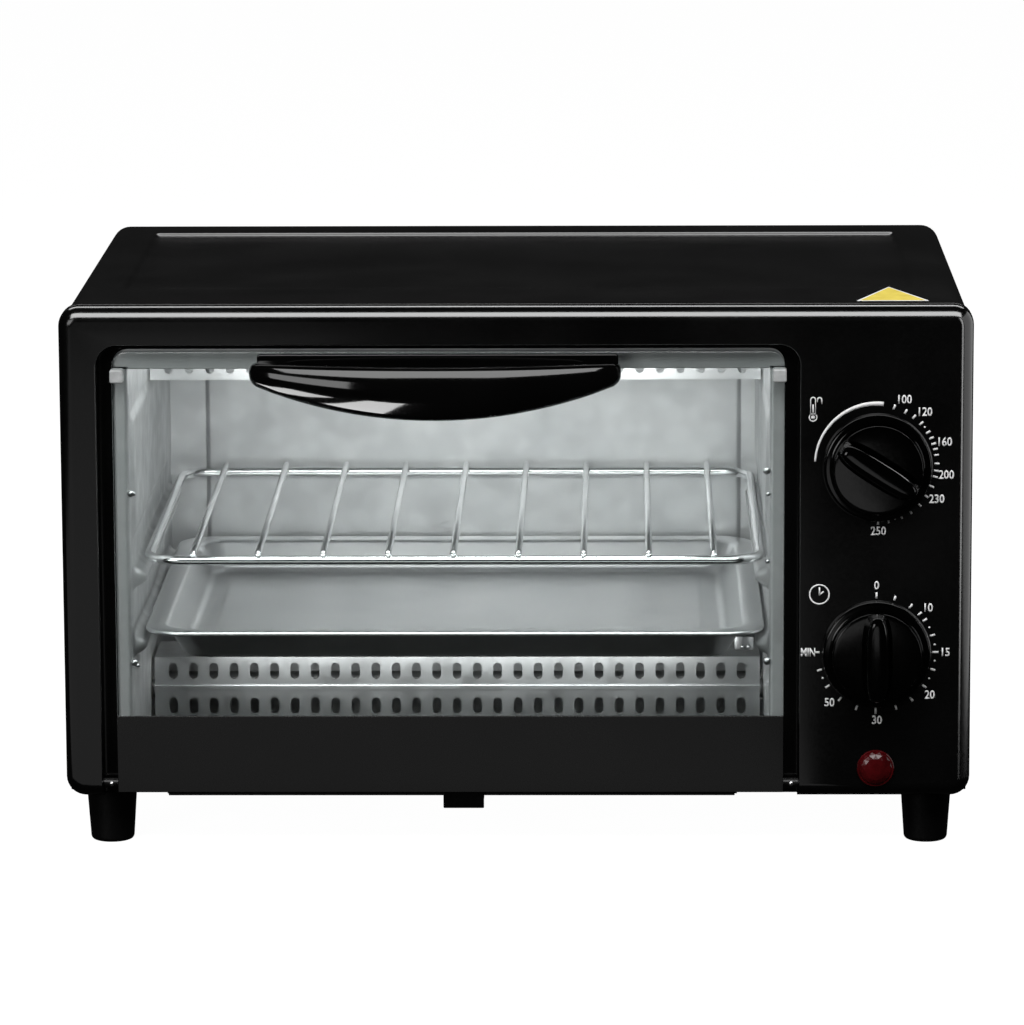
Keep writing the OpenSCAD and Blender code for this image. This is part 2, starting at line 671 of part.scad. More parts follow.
// The folded lower band: front skin, underside and an end block for each hinge pin
module door_band() color("#121213") placed() difference() {
    union() {
        block([door_x0, door_x1], [band_setback, glass_y0], [door_z0, band_z1]);
        block([door_x0, door_x1], [band_setback, glass_y1 + strip_t], [door_z0, door_z0 + band_t]);
        for (x = [[door_x0, door_x0 + pin_in + 2], [door_x1 - pin_in - 2, door_x1]])
            block(x, [band_setback, hinge_back + pin_r + pin_wall], [door_z0, hinge_z + pin_r + 2]);
    }
    for (x = [[door_x0 - 1, door_x0 + pin_in], [door_x1 - pin_in, door_x1 + 1]])
        rod_x(x, hinge_back, hinge_z, pin_r);
}

strip_z = [hinge_z + pin_r + 2, band_z1 - 3];

module door_inner_strip() color("#1b1b1d") placed()
    block([door_x0 + 3, door_x1 - 3], [glass_y1, glass_y1 + strip_t], strip_z);

// The arm leaves the strip's end, runs back through the flange's slot and ends in an eye for the spring
arm_eye = [12, 10]; // the eye's place behind and above the hinge axis
arm_foot_z = [strip_z[0] + 1, strip_z[0] + 12];
arm_y0 = glass_y1 + strip_t;

module hinge_arm(x, inward) color("#9a9a98") placed() difference() {
    union() {
        side_slab([x, x + arm_t]) {
            rectangle([arm_y0, arm_y0 + 3], arm_foot_z);
            rectangle([arm_y0, hinge_back + arm_eye[0]], [arm_foot_z[0], arm_foot_z[0] + 6]);
            translate([hinge_back + arm_eye[0], hinge_z + arm_eye[1]]) circle(4);
        }
        block([inward > 0 ? x : x - 8 + arm_t, inward > 0 ? x + 8 : x + arm_t], [arm_y0, arm_y0 + 1.2], arm_foot_z);
    }
    rod_x([x - 1, x + arm_t + 1], hinge_back + arm_eye[0], hinge_z + arm_eye[1], 1.7);
}

arm_in = 1.2; // set of the arms inside the door's ends

module hinge_arm_left() hinge_arm(door_x0 + arm_in, 1);
module hinge_arm_right() hinge_arm(door_x1 - arm_in - arm_t, -1);

module hinge_pin_left() color("silver") placed()
    rod_x([open_x0 - pin_out, door_x0 + pin_in], hinge_back, hinge_z, pin_r);

module hinge_pin_right() color("silver") placed()
    rod_x([door_x1 - pin_in, open_x1 + pin_out], hinge_back, hinge_z, pin_r);

plan_r = arc_r(handle_w, handle_reach - handle_end_reach);
belly_r = arc_r(handle_w, handle_mid_h - handle_end_h);
grip_end = 16; // length of the solid pad at each end
plate_up = 3; // height of the backing plate above the handle
plate_z = [handle_z1 - handle_end_h, handle_z1 + plate_up];

module handle_plan() difference() {
    intersection() {
        translate([-handle_w / 2, -handle_reach]) square([handle_w, handle_reach + glass_y0]);
        translate([0, plan_r - handle_reach]) circle(plan_r, $fn = 256);
    }
    intersection() {
        translate([-handle_w / 2 + grip_end, -handle_reach]) square([handle_w - 2 * grip_end, 3 * handle_reach]);
        translate([0, plan_r - handle_reach + grip_t]) circle(plan_r, $fn = 256);
    }
}

module handle_front() intersection() {
    rectangle([-handle_w / 2, handle_w / 2], [-handle_mid_h, 0]);
    translate([0, belly_r - handle_mid_h]) circle(belly_r, $fn = 256);
}

module door_handle() color("#0b0b0c") placed() difference() {
    union() {
        translate([handle_x, 0, handle_z1]) intersection() {
            translate([0, 0, -handle_mid_h - 1]) linear_extrude(handle_mid_h + 2) handle_plan();
            slab([-handle_reach - 1, glass_y0 + 1]) handle_front();
        }
        block([handle_x - handle_w / 2 + 3, handle_x + handle_w / 2 - 1], [glass_y0 - 1.5, glass_y0], plate_z);
    }
    for (x = handle_screw_x) rod_y(x, [glass_y0 - 7, glass_y0 + 1], handle_screw_z, screw_r);
}

washer_t = 1;

module handle_screws() color("silver") placed() for (x = handle_screw_x) {
    rod_y(x, [glass_y0 - 6.5, glass_y1 + washer_t + tiny], handle_screw_z, screw_r);
    rod_y(x, [glass_y1 + washer_t, glass_y1 + washer_t + 1.8], handle_screw_z, 3.4);
}

module handle_washers() color("#d8d4cc") placed() for (x = handle_screw_x) difference() {
    rod_y(x, [glass_y1, glass_y1 + washer_t], handle_screw_z, 4.4);
    rod_y(x, [0, 20], handle_screw_z, screw_r);
}

bumper_z = [door_z1 - 13.2, door_z1 - 7];
bumper_t = 0.8;

// A soft clip over the glass's edge
module door_bumper(x, inward) color("#d9dcdb", 0.8) placed() difference() {
    block([min(x - inward * 1.6, x + inward * 5.5), max(x - inward * 1.6, x + inward * 5.5)],
        [glass_y0 - bumper_t, glass_y1 + bumper_t], bumper_z);
    block([min(x, x + inward * 9), max(x, x + inward * 9)], [glass_y0, glass_y1], [bumper_z[0] - 1, bumper_z[1] + 1]);
}

module door_bumper_left() door_bumper(door_x0, 1);
module door_bumper_right() door_bumper(door_x1, -1);

// A tension spring from the arm's eye back to a tab on the cavity wall, drawn at rest as its outer tube
spring_r = 3;
spring_l = 68;
spring_y0 = hinge_back + arm_eye[0];
spring_y1 = spring_y0 + spring_l;
spring_hook = 8; // length of the straight hook at each end

module door_spring(x) color("#b5b5b3") placed() {
    rod_y(x, [spring_y0 + spring_hook, spring_y1 - spring_hook], hinge_z + arm_eye[1], spring_r);
    rod_y(x, [spring_y0 + 1, spring_y1], hinge_z + arm_eye[1], 0.7);
}

module door_spring_left() door_spring(door_x0);
module door_spring_right() door_spring(door_x1);

// ---- knobs ----

skirt_h = 3.4; // height of a knob's skirt
disc_r = knob_r - 3.8; // radius of its raised disc
disc_h = 9; // height of the raised disc above the frame
ridge_w = 11; // width of the grip across its middle
ridge_end_w = 4;

// A knob seen from the front with its ridge upright, pointing up
module knob(z, angle) color("#0c0c0d") placed() translate([knob_x, 0, z]) rotate([0, angle, 0]) difference() {
    union() {
        rod_y(0, [-knob_gap - skirt_h, -knob_gap], 0, knob_r);
        rod_y(0, [-disc_h, -knob_gap], 0, disc_r);
        slab([-knob_h, -disc_h + 2]) intersection() {
            circle(disc_r);
            translate([ridge_arc - ridge_w / 2, 0]) circle(ridge_arc);
            translate([ridge_w / 2 - ridge_arc, 0]) circle(ridge_arc);
        }
    }
    rod_y(0, [-knob_h + 3, 1], 0, shaft_r);
    difference() {
        rod_y(0, [-disc_h + 2.5, 1], 0, disc_r - 2);
        rod_y(0, [-disc_h, 2], 0, shaft_r + 2.2);
    }
}

ridge_arc = arc_r(2 * disc_r, (ridge_w - ridge_end_w) / 2);

module temp_knob() knob(temp_z, temp_angle);
module timer_knob() knob(timer_z, 0);

module control_shaft(z) color("#c8c8c6") placed()
    rod_y(knob_x, [-knob_h + 3, control_y + shaft_in], z, shaft_r);

module thermostat_shaft() control_shaft(temp_z);
module timer_shaft() control_shaft(timer_z);

// ---- rack and trays ----

rack_x = [shelf_x0 + rod_r, shelf_x1 - rod_r]; // the frame rod's centre line
rack_y = [shelf_front + rod_r, shelf_y1 - rod_r];
wire_count = floor((rack_x[1] - rack_x[0] - 30) / wire_pitch) + 1;

module wire_rack() color("#c9c9c9") placed() translate([0, 0, rack_z]) {
    for (y = rack_y) rod_x([rack_x[0] + corner_rod_r, rack_x[1] - corner_rod_r], y, 0, rod_r);
    for (x = rack_x) rod_y(x, [rack_y[0] + corner_rod_r, rack_y[1] - corner_rod_r], 0, rod_r);
    for (i = [0:3]) {
        cx = i == 0 || i == 3 ? rack_x[1] - corner_rod_r : rack_x[0] + corner_rod_r;
        cy = i < 2 ? rack_y[1] - corner_rod_r : rack_y[0] + corner_rod_r;
        translate([cx, cy, 0]) rotate([0, 0, 90 * i]) rotate_extrude(angle = 90) translate([corner_rod_r, 0])
            circle(rod_r);
    }
    for (i = [0:wire_count - 1])
        rod_y((rack_x[0] + rack_x[1]) / 2 + (i - (wire_count - 1) / 2) * wire_pitch,
            [rack_y[0] - 1, rack_y[1] + 1], rod_r + wire_r - 0.4, wire_r);
}

tray_r = 16; // corner radius of the rim
tray_x = [shelf_x0, shelf_x1];
tray_y = [shelf_front, shelf_y1];
tray_z0 = tray_z - tray_h;

// The tray's outline, drawn in by d
module tray_outline(d) rounded([tray_x[0] + d, tray_x[1] - d], [tray_y[0] + d, tray_y[1] - d], tray_r - d * 0.4);

module tray_bowl(grow, z) hull() {
    translate([0, 0, z]) linear_extrude(0.1) tray_outline(tray_rim + tray_lean - grow);
    translate([0, 0, tray_z]) linear_extrude(0.1) tray_outline(tray_rim - grow);
}

module baking_tray() color("#c2c2bf") placed() difference() {
    union() {
        translate([0, 0, tray_z - rim_t]) linear_extrude(rim_t) tray_outline(0, $fn = 32);
        difference() {
            tray_bowl(tray_t, tray_z0, $fn = 32);
            block([-body_w, body_w], [0, body_d], [tray_z, tray_z + 1]);
        }
    }
    tray_bowl(0, tray_z0 + tray_t, $fn = 32);
}

crumb_t = 0.6; // sheet of the crumb tray
crumb_tray_h = 2.2;

module crumb_tray() color("#a9a9a5") placed() difference() {
    block(crumb_x, [crumb_y0, crumb_y1], [crumb_z, crumb_z + crumb_tray_h]);
    block([crumb_x[0] + crumb_t, crumb_x[1] - crumb_t], [crumb_y0 + crumb_t, crumb_y1 - crumb_t],
        [crumb_z + crumb_t, crumb_z + crumb_tray_h + 1]);
}

module crumb_tray_pull() color("#121213") placed() {
    block([crumb_pull_x - crumb_pull_w / 2, crumb_pull_x + crumb_pull_w / 2], [crumb_y0 - 1.6, crumb_y0],
        [z0 - crumb_pull_drop, crumb_z + crumb_tray_h]);
    block([crumb_pull_x - crumb_pull_w / 2, crumb_pull_x + crumb_pull_w / 2], [crumb_y0 - tiny, crumb_y0 + 6],
        [crumb_z - 2, crumb_z]);
}

front_bezel();
top_cover();
rear_panel();
base_plate();
foot_front_left();
foot_front_right();
foot_rear_left();
foot_rear_right();
foot_screws();
cavity_left_wall();
cavity_right_wall();
cavity_roof();
cavity_back();
lower_guard();
upper_guard();
lower_element_front();
lower_element_rear();
upper_element_front();
upper_element_rear();
element_bushes();
control_bracket();
control_screws();
thermostat_body();
timer_body();
timer_bell();
neon_lamp();
indicator_lens();
terminal_block();
internal_wiring();
cord_gland();
rear_screws();
blank_label();
door_glass();
door_band();
door_inner_strip();
hinge_arm_left();
hinge_arm_right();
hinge_pin_left();
hinge_pin_right();
door_handle();
handle_screws();
handle_washers();
door_bumper_left();
door_bumper_right();
door_spring_left();
door_spring_right();
temp_knob();
timer_knob();
thermostat_shaft();
timer_shaft();
wire_rack();
baking_tray();
crumb_tray();
crumb_tray_pull();
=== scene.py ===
import json
import math

import bmesh
import bpy
from mathutils import Matrix, Vector, geometry

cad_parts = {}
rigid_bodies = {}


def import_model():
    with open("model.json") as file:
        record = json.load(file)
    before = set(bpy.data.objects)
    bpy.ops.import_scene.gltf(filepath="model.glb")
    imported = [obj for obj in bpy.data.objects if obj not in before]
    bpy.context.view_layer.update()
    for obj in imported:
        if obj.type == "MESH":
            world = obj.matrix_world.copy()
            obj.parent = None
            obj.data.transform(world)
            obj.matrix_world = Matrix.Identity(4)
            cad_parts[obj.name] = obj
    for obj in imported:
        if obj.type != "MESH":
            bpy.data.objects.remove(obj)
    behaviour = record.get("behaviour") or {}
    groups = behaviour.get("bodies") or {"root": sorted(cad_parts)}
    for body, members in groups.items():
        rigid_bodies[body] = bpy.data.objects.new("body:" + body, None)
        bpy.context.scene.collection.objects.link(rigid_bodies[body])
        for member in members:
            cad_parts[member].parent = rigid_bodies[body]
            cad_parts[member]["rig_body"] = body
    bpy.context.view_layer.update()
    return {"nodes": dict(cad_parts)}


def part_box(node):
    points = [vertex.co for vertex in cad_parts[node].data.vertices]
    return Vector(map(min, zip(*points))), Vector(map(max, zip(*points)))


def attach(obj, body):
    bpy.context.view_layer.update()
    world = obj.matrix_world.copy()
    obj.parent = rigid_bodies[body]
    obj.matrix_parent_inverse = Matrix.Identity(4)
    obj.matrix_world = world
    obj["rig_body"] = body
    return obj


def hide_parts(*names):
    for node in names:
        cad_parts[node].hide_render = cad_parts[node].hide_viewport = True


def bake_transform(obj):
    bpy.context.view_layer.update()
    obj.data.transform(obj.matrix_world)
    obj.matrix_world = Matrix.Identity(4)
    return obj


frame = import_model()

# Sizes below are in millimetres. X runs to the right, Z up, and Y back from the face of the front frame.
unit = 0.001
micron = 0.000001
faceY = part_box("front_bezel")[0].y / unit


def place(p):
    return Vector((p[0], p[1] + faceY, p[2])) * unit


def span(node):  # a CAD node's lowest and highest corner
    return [Vector((p.x / unit, p.y / unit - faceY, p.z / unit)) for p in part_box(node)]


# Camera and studio

camera = {
    "place": (0.0413, -2.3733, 0.5628),
    "pitch": 10.611,
    "yaw": -1.089,
    "roll": -0.265,
    "lens": 201.65,
}


def makeCamera():
    pitch, yaw, roll = (math.radians(camera[k]) for k in ("pitch", "yaw", "roll"))
    ahead = Vector((math.sin(yaw) * math.cos(pitch), math.cos(yaw) * math.cos(pitch), -math.sin(pitch)))
    flat = Vector((math.cos(yaw), -math.sin(yaw), 0))
    over = flat.cross(ahead)
    side = flat * math.cos(roll) + over * math.sin(roll)
    up = over * math.cos(roll) - flat * math.sin(roll)
    data = bpy.data.cameras.new("camera")
    data.sensor_width = 36
    data.lens = camera["lens"]
    data.clip_start = 0.05
    item = bpy.data.objects.new("camera", data)
    bpy.context.scene.collection.objects.link(item)
    item.matrix_world = Matrix(
        [[side[i], up[i], -ahead[i], camera["place"][i]] for i in range(3)] + [[0, 0, 0, 1]])
    bpy.context.scene.camera = item


def addNode(tree, kind, inputs=None, **settings):
    node = tree.nodes.new(kind)
    for key, value in settings.items():
        setattr(node, key, value)
    for key, value in (inputs or {}).items():
        if isinstance(value, bpy.types.NodeSocket):
            tree.links.new(value, node.inputs[key])
        else:
            node.inputs[key].default_value = value
    return node


studio = {
    "backdrop": 1.0,  # brightness of the backdrop as seen
    "fill": 0.012,  # brightness of the room around the object
    "floorTone": 0.14,
    "floorGlow": 0.985,
}
# place, aim, width, height, power, and the pieces that a small card alone lights
lamps = {
    "frontBox": ((-1.2, -1.9, 0.55), (0, 0.0, 0.12), 0.9, 0.7, 9, ()),
    "topBox": ((0.0, -1.05, 1.25), (0, 0.0, 0.15), 1.9, 0.8, 30, ()),
    "backBox": ((0.0, 0.75, 1.05), (0, 0.0, 0.2), 1.6, 0.4, 11, ()),
    "rearBox": ((0.2, 2.2, 1.0), (0, 0.12, 0.12), 3.2, 1.3, 34,
                ("rearPanel", "coverSides", "cordGland", "foot.rear_left", "foot.rear_right")),
    "ovenTop": ((-0.027, -0.098, 0.190), (-0.027, 0.056, 0.10), 0.20, 0.02, 0.20, ()),
    "ovenLow": ((-0.027, -0.064, 0.066), (-0.027, 0.026, 0.16), 0.20, 0.02, 0.11, ()),
    "cardMiddle": ((-0.135, -0.33, 0.012), (-0.135, -0.33, 0.5), 0.075, 0.24, 0.90, ("handleBow",)),
    "cardLeft": ((-0.275, -0.28, 0.012), (-0.275, -0.28, 0.5), 0.10, 0.24, 1.1, ("handleBow",)),
    "cardShelf": ((-0.03, -0.55, 0.012), (-0.03, -0.55, 0.5), 0.55, 0.50, 0.7, ("bakingTray", "wireRack")),
    "cardKnobs": ((0.05, -0.85, 0.012), (0.05, -0.85, 0.5), 0.25, 0.60, 0.30, ("knob.temp", "knob.timer")),
    "boxKnobs": ((0.80, 0.15, 0.85), (0.144, 0, 0.12), 0.25, 0.25, 1.5, ("knob.temp", "knob.timer")),
    "cardNear": ((-0.34, -0.475, 0.012), (-0.34, -0.475, 0.5), 0.92, 0.65, 0.78, ("frontFrame", "doorBand")),
    "cardFar": ((-0.475, -1.10, 0.012), (-0.475, -1.10, 0.5), 0.71, 0.60, 0.50, ("frontFrame", "doorBand")),
    "cardTop": ((0.0, -1.00, 1.20), (0, 0.0, 0.15), 2.0, 0.9, 55, ("frontFrame",)),
    "wallRight": ((0.95, -0.35, 0.30), (0.16, -0.35, 0.12), 1.8, 0.9, 11, ("frontFrame",)),
    "slotRight": ((0.74, -1.36, 0.22), (0.16, 0, 0.12), 0.24, 0.9, 6, ("frontFrame",)),
    "slotKnobs": ((1.05, -0.30, 0.30), (0.16, 0, 0.12), 0.16, 0.6, 1.0, ("knob.temp", "knob.timer")),
}


def makeLamps():
    for name, (spot, aim, width, height, power, only) in lamps.items():
        data = bpy.data.lights.new(name, "AREA")
        data.shape = "RECTANGLE"
        data.size = width
        data.size_y = height
        data.energy = power
        item = bpy.data.objects.new(name, data)
        bpy.context.scene.collection.objects.link(item)
        item.location = spot
        item.rotation_euler = (Vector(aim) - Vector(spot)).to_track_quat("-Z", "Y").to_euler()
        item.visible_camera = False
        item.visible_diffuse = not only


def aimCards():  # a card lights only the pieces it is named for
    for name, setting in lamps.items():
        if setting[5]:
            group = bpy.data.collections.new(name)
            for piece in setting[5]:
                group.objects.link(bpy.data.objects[piece])
            bpy.data.objects[name].light_linking.receiver_collection = group
    group = bpy.data.collections.new("knobShade")
    for piece in ("knob.temp", "knob.timer"):
        group.objects.link(bpy.data.objects[piece])
    bpy.data.objects["topBox"].light_linking.receiver_collection = group
    for entry in group.collection_objects:
        entry.light_linking.link_state = "EXCLUDE"


def makeStudio():
    world = bpy.data.worlds.new("studio")
    bpy.context.scene.world = world
    world.use_nodes = True
    tree = world.node_tree
    tree.nodes.clear()
    path = addNode(tree, "ShaderNodeLightPath")
    room = addNode(tree, "ShaderNodeBackground", {"Color": (1, 1, 1, 1), "Strength": studio["fill"]})
    seen = addNode(tree, "ShaderNodeBackground", {"Color": (1, 1, 1, 1), "Strength": studio["backdrop"]})
    both = addNode(tree, "ShaderNodeMixShader", {
        0: path.outputs["Is Camera Ray"], 1: room.outputs[0], 2: seen.outputs[0]})
    addNode(tree, "ShaderNodeOutputWorld", {0: both.outputs[0]})
    material = bpy.data.materials.new("floorPaint")
    material.use_nodes = True
    tree = material.node_tree
    tree.nodes.clear()
    tone, glow = studio["floorTone"], studio["floorGlow"]
    cloud = addNode(tree, "ShaderNodeTexNoise", {"Scale": 3.0, "Detail": 3.0})
    worn = tone * 0.98
    paint = addNode(tree, "ShaderNodeMix", {
        0: cloud.outputs["Fac"], 6: (worn, worn, worn, 1), 7: (tone, tone, tone, 1)}, data_type="RGBA")
    body = addNode(tree, "ShaderNodeBsdfPrincipled", {
        "Base Color": paint.outputs[2], "Roughness": 0.9, "Specular IOR Level": 0.0,
        "Emission Color": (1, 1, 1, 1), "Emission Strength": glow})
    addNode(tree, "ShaderNodeOutputMaterial", {0: body.outputs[0]})
    mesh = bpy.data.meshes.new("floor")
    mesh.from_pydata([(-8, -6, 0), (8, -6, 0), (8, 10, 0), (-8, 10, 0)], [], [(0, 1, 2, 3)])
    mesh.materials.append(material)
    floor = bpy.data.objects.new("floor", mesh)
    bpy.context.scene.collection.objects.link(floor)
    floor.visible_glossy = False
    floor.visible_diffuse = False
    bpy.context.scene.view_settings.view_transform = "Standard"


makeCamera()
makeLamps()
makeStudio()
print("camera and studio made")

# Finishes


def newFinish(name, specular=0.5):
    material = bpy.data.materials.new(name)
    material.use_nodes = True
    tree = material.node_tree
    tree.nodes.clear()
    body = addNode(tree, "ShaderNodeBsdfPrincipled", {"Specular IOR Level": specular, "IOR": 1.45})
    addNode(tree, "ShaderNodeOutputMaterial", {0: body.outputs[0]})
    return material, tree, body, addNode(tree, "ShaderNodeTexCoord").outputs["Object"]


def grey(v, tint=(1, 1, 1)):
    return (v * tint[0], v * tint[1], v * tint[2], 1)


def spread(tree, source, low, high, start=0.3, end=0.7):  # a pattern's values stretched between two numbers
    return addNode(tree, "ShaderNodeMapRange", {
        "Value": source, "From Min": start, "From Max": end, "To Min": low, "To Max": high}).outputs[0]


def blendColour(tree, factor, first, second):
    mix = addNode(tree, "ShaderNodeMix", {0: factor, 6: first, 7: second}, data_type="RGBA")
    return mix.outputs[2]


def noise(tree, coords, scale, detail=3.0, rough=0.5):
    return addNode(tree, "ShaderNodeTexNoise", {
        "Vector": coords, "Scale": scale, "Detail": detail, "Roughness": rough}).outputs["Fac"]


def bumped(tree, body, height, distance, strength=1.0):
    bump = addNode(tree, "ShaderNodeBump", {"Height": height, "Distance": distance, "Strength": strength})
    tree.links.new(bump.outputs[0], body.inputs["Normal"])


# Coats and mouldings
plain = (1, 1, 1)
# tones, roughnesses, grain per metre, grain depth in microns, specular, tint
coats = {
    "framePaint": ((0.0008, 0.0018), (0.12, 0.18), 1100, 4, 0.5, plain),
    "coverPaint": ((0.0012, 0.0026), (0.15, 0.2), 1100, 4, 0.35, plain),
    "bandPaint": ((0.0015, 0.003), (0.22, 0.3), 1300, 6, 0.38, plain),
    "rearPaint": ((0.008, 0.014), (0.38, 0.5), 900, 20, 0.35, plain),
    "handlePlastic": ((0.0007, 0.0014), (0.05, 0.1), 500, 2, 0.5, plain),
    "knobPlastic": ((0.0007, 0.0014), (0.08, 0.14), 600, 3, 0.45, plain),
    "footPlastic": ((0.0012, 0.0024), (0.3, 0.42), 1600, 10, 0.4, plain),
    "glandPlastic": ((0.006, 0.01), (0.35, 0.5), 1800, 10, 0.4, plain),
    "casePlastic": ((0.5, 0.6), (0.35, 0.5), 1200, 8, 0.5, (1, 0.95, 0.84)),
    "ceramicWhite": ((0.68, 0.78), (0.45, 0.6), 1500, 10, 0.5, (1, 0.98, 0.93)),
    "printWhite": ((0.72, 0.84), (0.4, 0.55), 2500, 3, 0.4, plain),
    "washerFibre": ((0.55, 0.66), (0.6, 0.75), 2500, 10, 0.3, (1, 0.97, 0.9)),
}


def coatFinish(name):
    tones, rough, grain, depth, specular, tint = coats[name]
    material, tree, body, coords = newFinish(name, specular)
    cloud = noise(tree, coords, 22, 4)
    dust = noise(tree, coords, 900, 2)
    tone = blendColour(tree, spread(tree, cloud, 0, 1), grey(tones[0], tint), grey(tones[1], tint))
    tree.links.new(tone, body.inputs["Base Color"])
    mixed = addNode(tree, "ShaderNodeMath", {0: cloud, 1: dust}, operation="ADD").outputs[0]
    tree.links.new(spread(tree, mixed, *rough, 0.7, 1.3), body.inputs["Roughness"])
    bumped(tree, body, noise(tree, coords, grain, 2), depth * micron)
    return material


# Bare and plated metals
# tones, roughnesses, spangles per metre, clouds per metre, grain depth in microns, stretch of the grain
metals = {
    "cavitySteel": ((0.58, 0.72), (0.48, 0.6), 150, 26, 12, plain),
    "backSteel": ((0.66, 0.8), (0.42, 0.56), 130, 22, 12, plain),
    "guardSteel": ((0.74, 0.84), (0.32, 0.42), 200, 30, 8, plain),
    "galvanised": ((0.62, 0.76), (0.38, 0.5), 110, 18, 10, plain),
    "trayMetal": ((0.74, 0.8), (0.34, 0.38), 0, 14, 6, (0.15, 1, 1)),
    "chromeWire": ((0.8, 0.9), (0.12, 0.22), 0, 60, 2, plain),
    "screwSteel": ((0.55, 0.7), (0.22, 0.36), 0, 120, 3, plain),
    "springSteel": ((0.45, 0.58), (0.25, 0.38), 0, 150, 3, plain),
    "heaterSheath": ((0.46, 0.58), (0.42, 0.58), 0, 90, 10, (0.4, 1, 1)),
}


def metalFinish(name):
    tones, rough, cells, clouds, depth, stretch = metals[name]
    material, tree, body, coords = newFinish(name)
    body.inputs["Metallic"].default_value = 1.0
    cloud = noise(tree, coords, clouds, 5, 0.6)
    drawn = addNode(tree, "ShaderNodeVectorMath", {0: coords, 1: stretch}, operation="MULTIPLY").outputs[0]
    grain = noise(tree, drawn, 1400, 3)
    factor = cloud
    if cells:  # soft spangle of a dipped sheet
        cell = addNode(tree, "ShaderNodeTexVoronoi", {
            "Vector": coords, "Scale": cells, "Randomness": 0.9}, feature="SMOOTH_F1").outputs["Color"]
        tint = addNode(tree, "ShaderNodeSeparateColor", {0: cell}).outputs[0]
        factor = addNode(tree, "ShaderNodeMix", {0: 0.35, 2: cloud, 3: tint}).outputs[0]
    dull, bright = grey(tones[0], (0.98, 0.99, 1)), grey(tones[1], (0.99, 0.995, 1))
    tone = blendColour(tree, spread(tree, factor, 0, 1), dull, bright)
    tree.links.new(tone, body.inputs["Base Color"])
    tree.links.new(spread(tree, factor, rough[1], rough[0]), body.inputs["Roughness"])
    bumped(tree, body, grain, depth * micron)
    return material


def glassFinish():
    material, tree, body, coords = newFinish("paneGlass")
    smear = noise(tree, coords, 35, 4)
    tint = blendColour(tree, spread(tree, smear, 0, 1), (0.93, 0.955, 0.95, 1), (0.955, 0.975, 0.97, 1))
    clear = addNode(tree, "ShaderNodeBsdfTransparent", {"Color": tint})
    gloss = addNode(tree, "ShaderNodeBsdfGlossy",
        {"Color": (1, 1, 1, 1), "Roughness": spread(tree, smear, 0.01, 0.05)})
    inside = addNode(tree, "ShaderNodeNewGeometry").outputs["Backfacing"]
    # so the far side of the pane mirrors no more than the near one
    bend = spread(tree, inside, 1.45, 1 / 1.45, 0, 1)
    edge = addNode(tree, "ShaderNodeFresnel", {"IOR": bend})
    both = addNode(tree, "ShaderNodeMixShader",
        {0: edge.outputs[0], 1: clear.outputs[0], 2: gloss.outputs[0]})
    tree.links.new(both.outputs[0], tree.nodes["Material Output"].inputs[0])
    tree.nodes.remove(body)
    return material


def clouded(tree, body, cloud, first, second, rough):  # colour and gloss that follow one pattern
    tone = blendColour(tree, spread(tree, cloud, 0, 1), (*first, 1), (*second, 1))
    tree.links.new(tone, body.inputs["Base Color"])
    tree.links.new(spread(tree, cloud, *rough), body.inputs["Roughness"])


def lensFinish():
    material, tree, body, coords = newFinish("lensRed", specular=0.5)
    cloud = noise(tree, coords, 180, 3)
    clouded(tree, body, cloud, (0.030, 0.0012, 0.0018), (0.060, 0.0025, 0.0035), (0.08, 0.16))
    return material


def softFinish():  # milky silicone rubber
    material, tree, body, coords = newFinish("silicone", specular=0.4)
    cloud = noise(tree, coords, 260, 3)
    clouded(tree, body, cloud, (0.34, 0.35, 0.35), (0.46, 0.47, 0.47), (0.32, 0.48))
    body.inputs["Subsurface Weight"].default_value = 0.2
    body.inputs["Subsurface Radius"].default_value = (0.002, 0.002, 0.002)
    return material


def colourFinish(name, first, second, rough, scale=140, depth=0.000006):
    material, tree, body, coords = newFinish(name, specular=0.4)
    cloud = noise(tree, coords, scale, 4)
    clouded(tree, body, cloud, first, second, rough)
    bumped(tree, body, noise(tree, coords, scale * 9, 2), depth)
    return material


finishes = {name: coatFinish(name) for name in coats}
finishes.update({name: metalFinish(name) for name in metals})
finishes["paneGlass"] = glassFinish()
finishes["lensRed"] = lensFinish()
finishes["silicone"] = softFinish()
finishes["labelYellow"] = colourFinish("labelYellow", (0.62, 0.48, 0.03), (0.72, 0.57, 0.05), (0.4, 0.55))
finishes["wireSleeve"] = colourFinish("wireSleeve", (0.42, 0.07, 0.03), (0.52, 0.10, 0.05), (0.45, 0.6))
finishes["lampGlass"] = colourFinish("lampGlass", (0.62, 0.30, 0.16), (0.72, 0.38, 0.20), (0.08, 0.18))
print("finishes made")

# Shapes


def bendSteps(count, total=math.pi / 2):  # angles in equal steps round a bend
    return [total * k / count for k in range(count + 1)]


def roundRect(x0, z0, x1, z1, r, steps=6):
    loop = []
    for cx, cz, start in ((x1 - r, z1 - r, 0), (x0 + r, z1 - r, 90), (x0 + r, z0 + r, 180),
            (x1 - r, z0 + r, 270)):
        for k in range(steps + 1):
            a = math.radians(start + 90 * k / steps)
            loop.append((cx + r * math.cos(a), cz + r * math.sin(a)))
    return loop


def roundLoop(cx, cz, r, steps=24):
    return [(cx + r * math.cos(2 * math.pi * k / steps), cz + r * math.sin(2 * math.pi * k / steps))
        for k in range(steps)]


def quads(first, second, n):  # faces between two rings of n points that start at these numbers
    return [(first + i, first + (i + 1) % n, second + (i + 1) % n, second + i) for i in range(n)]


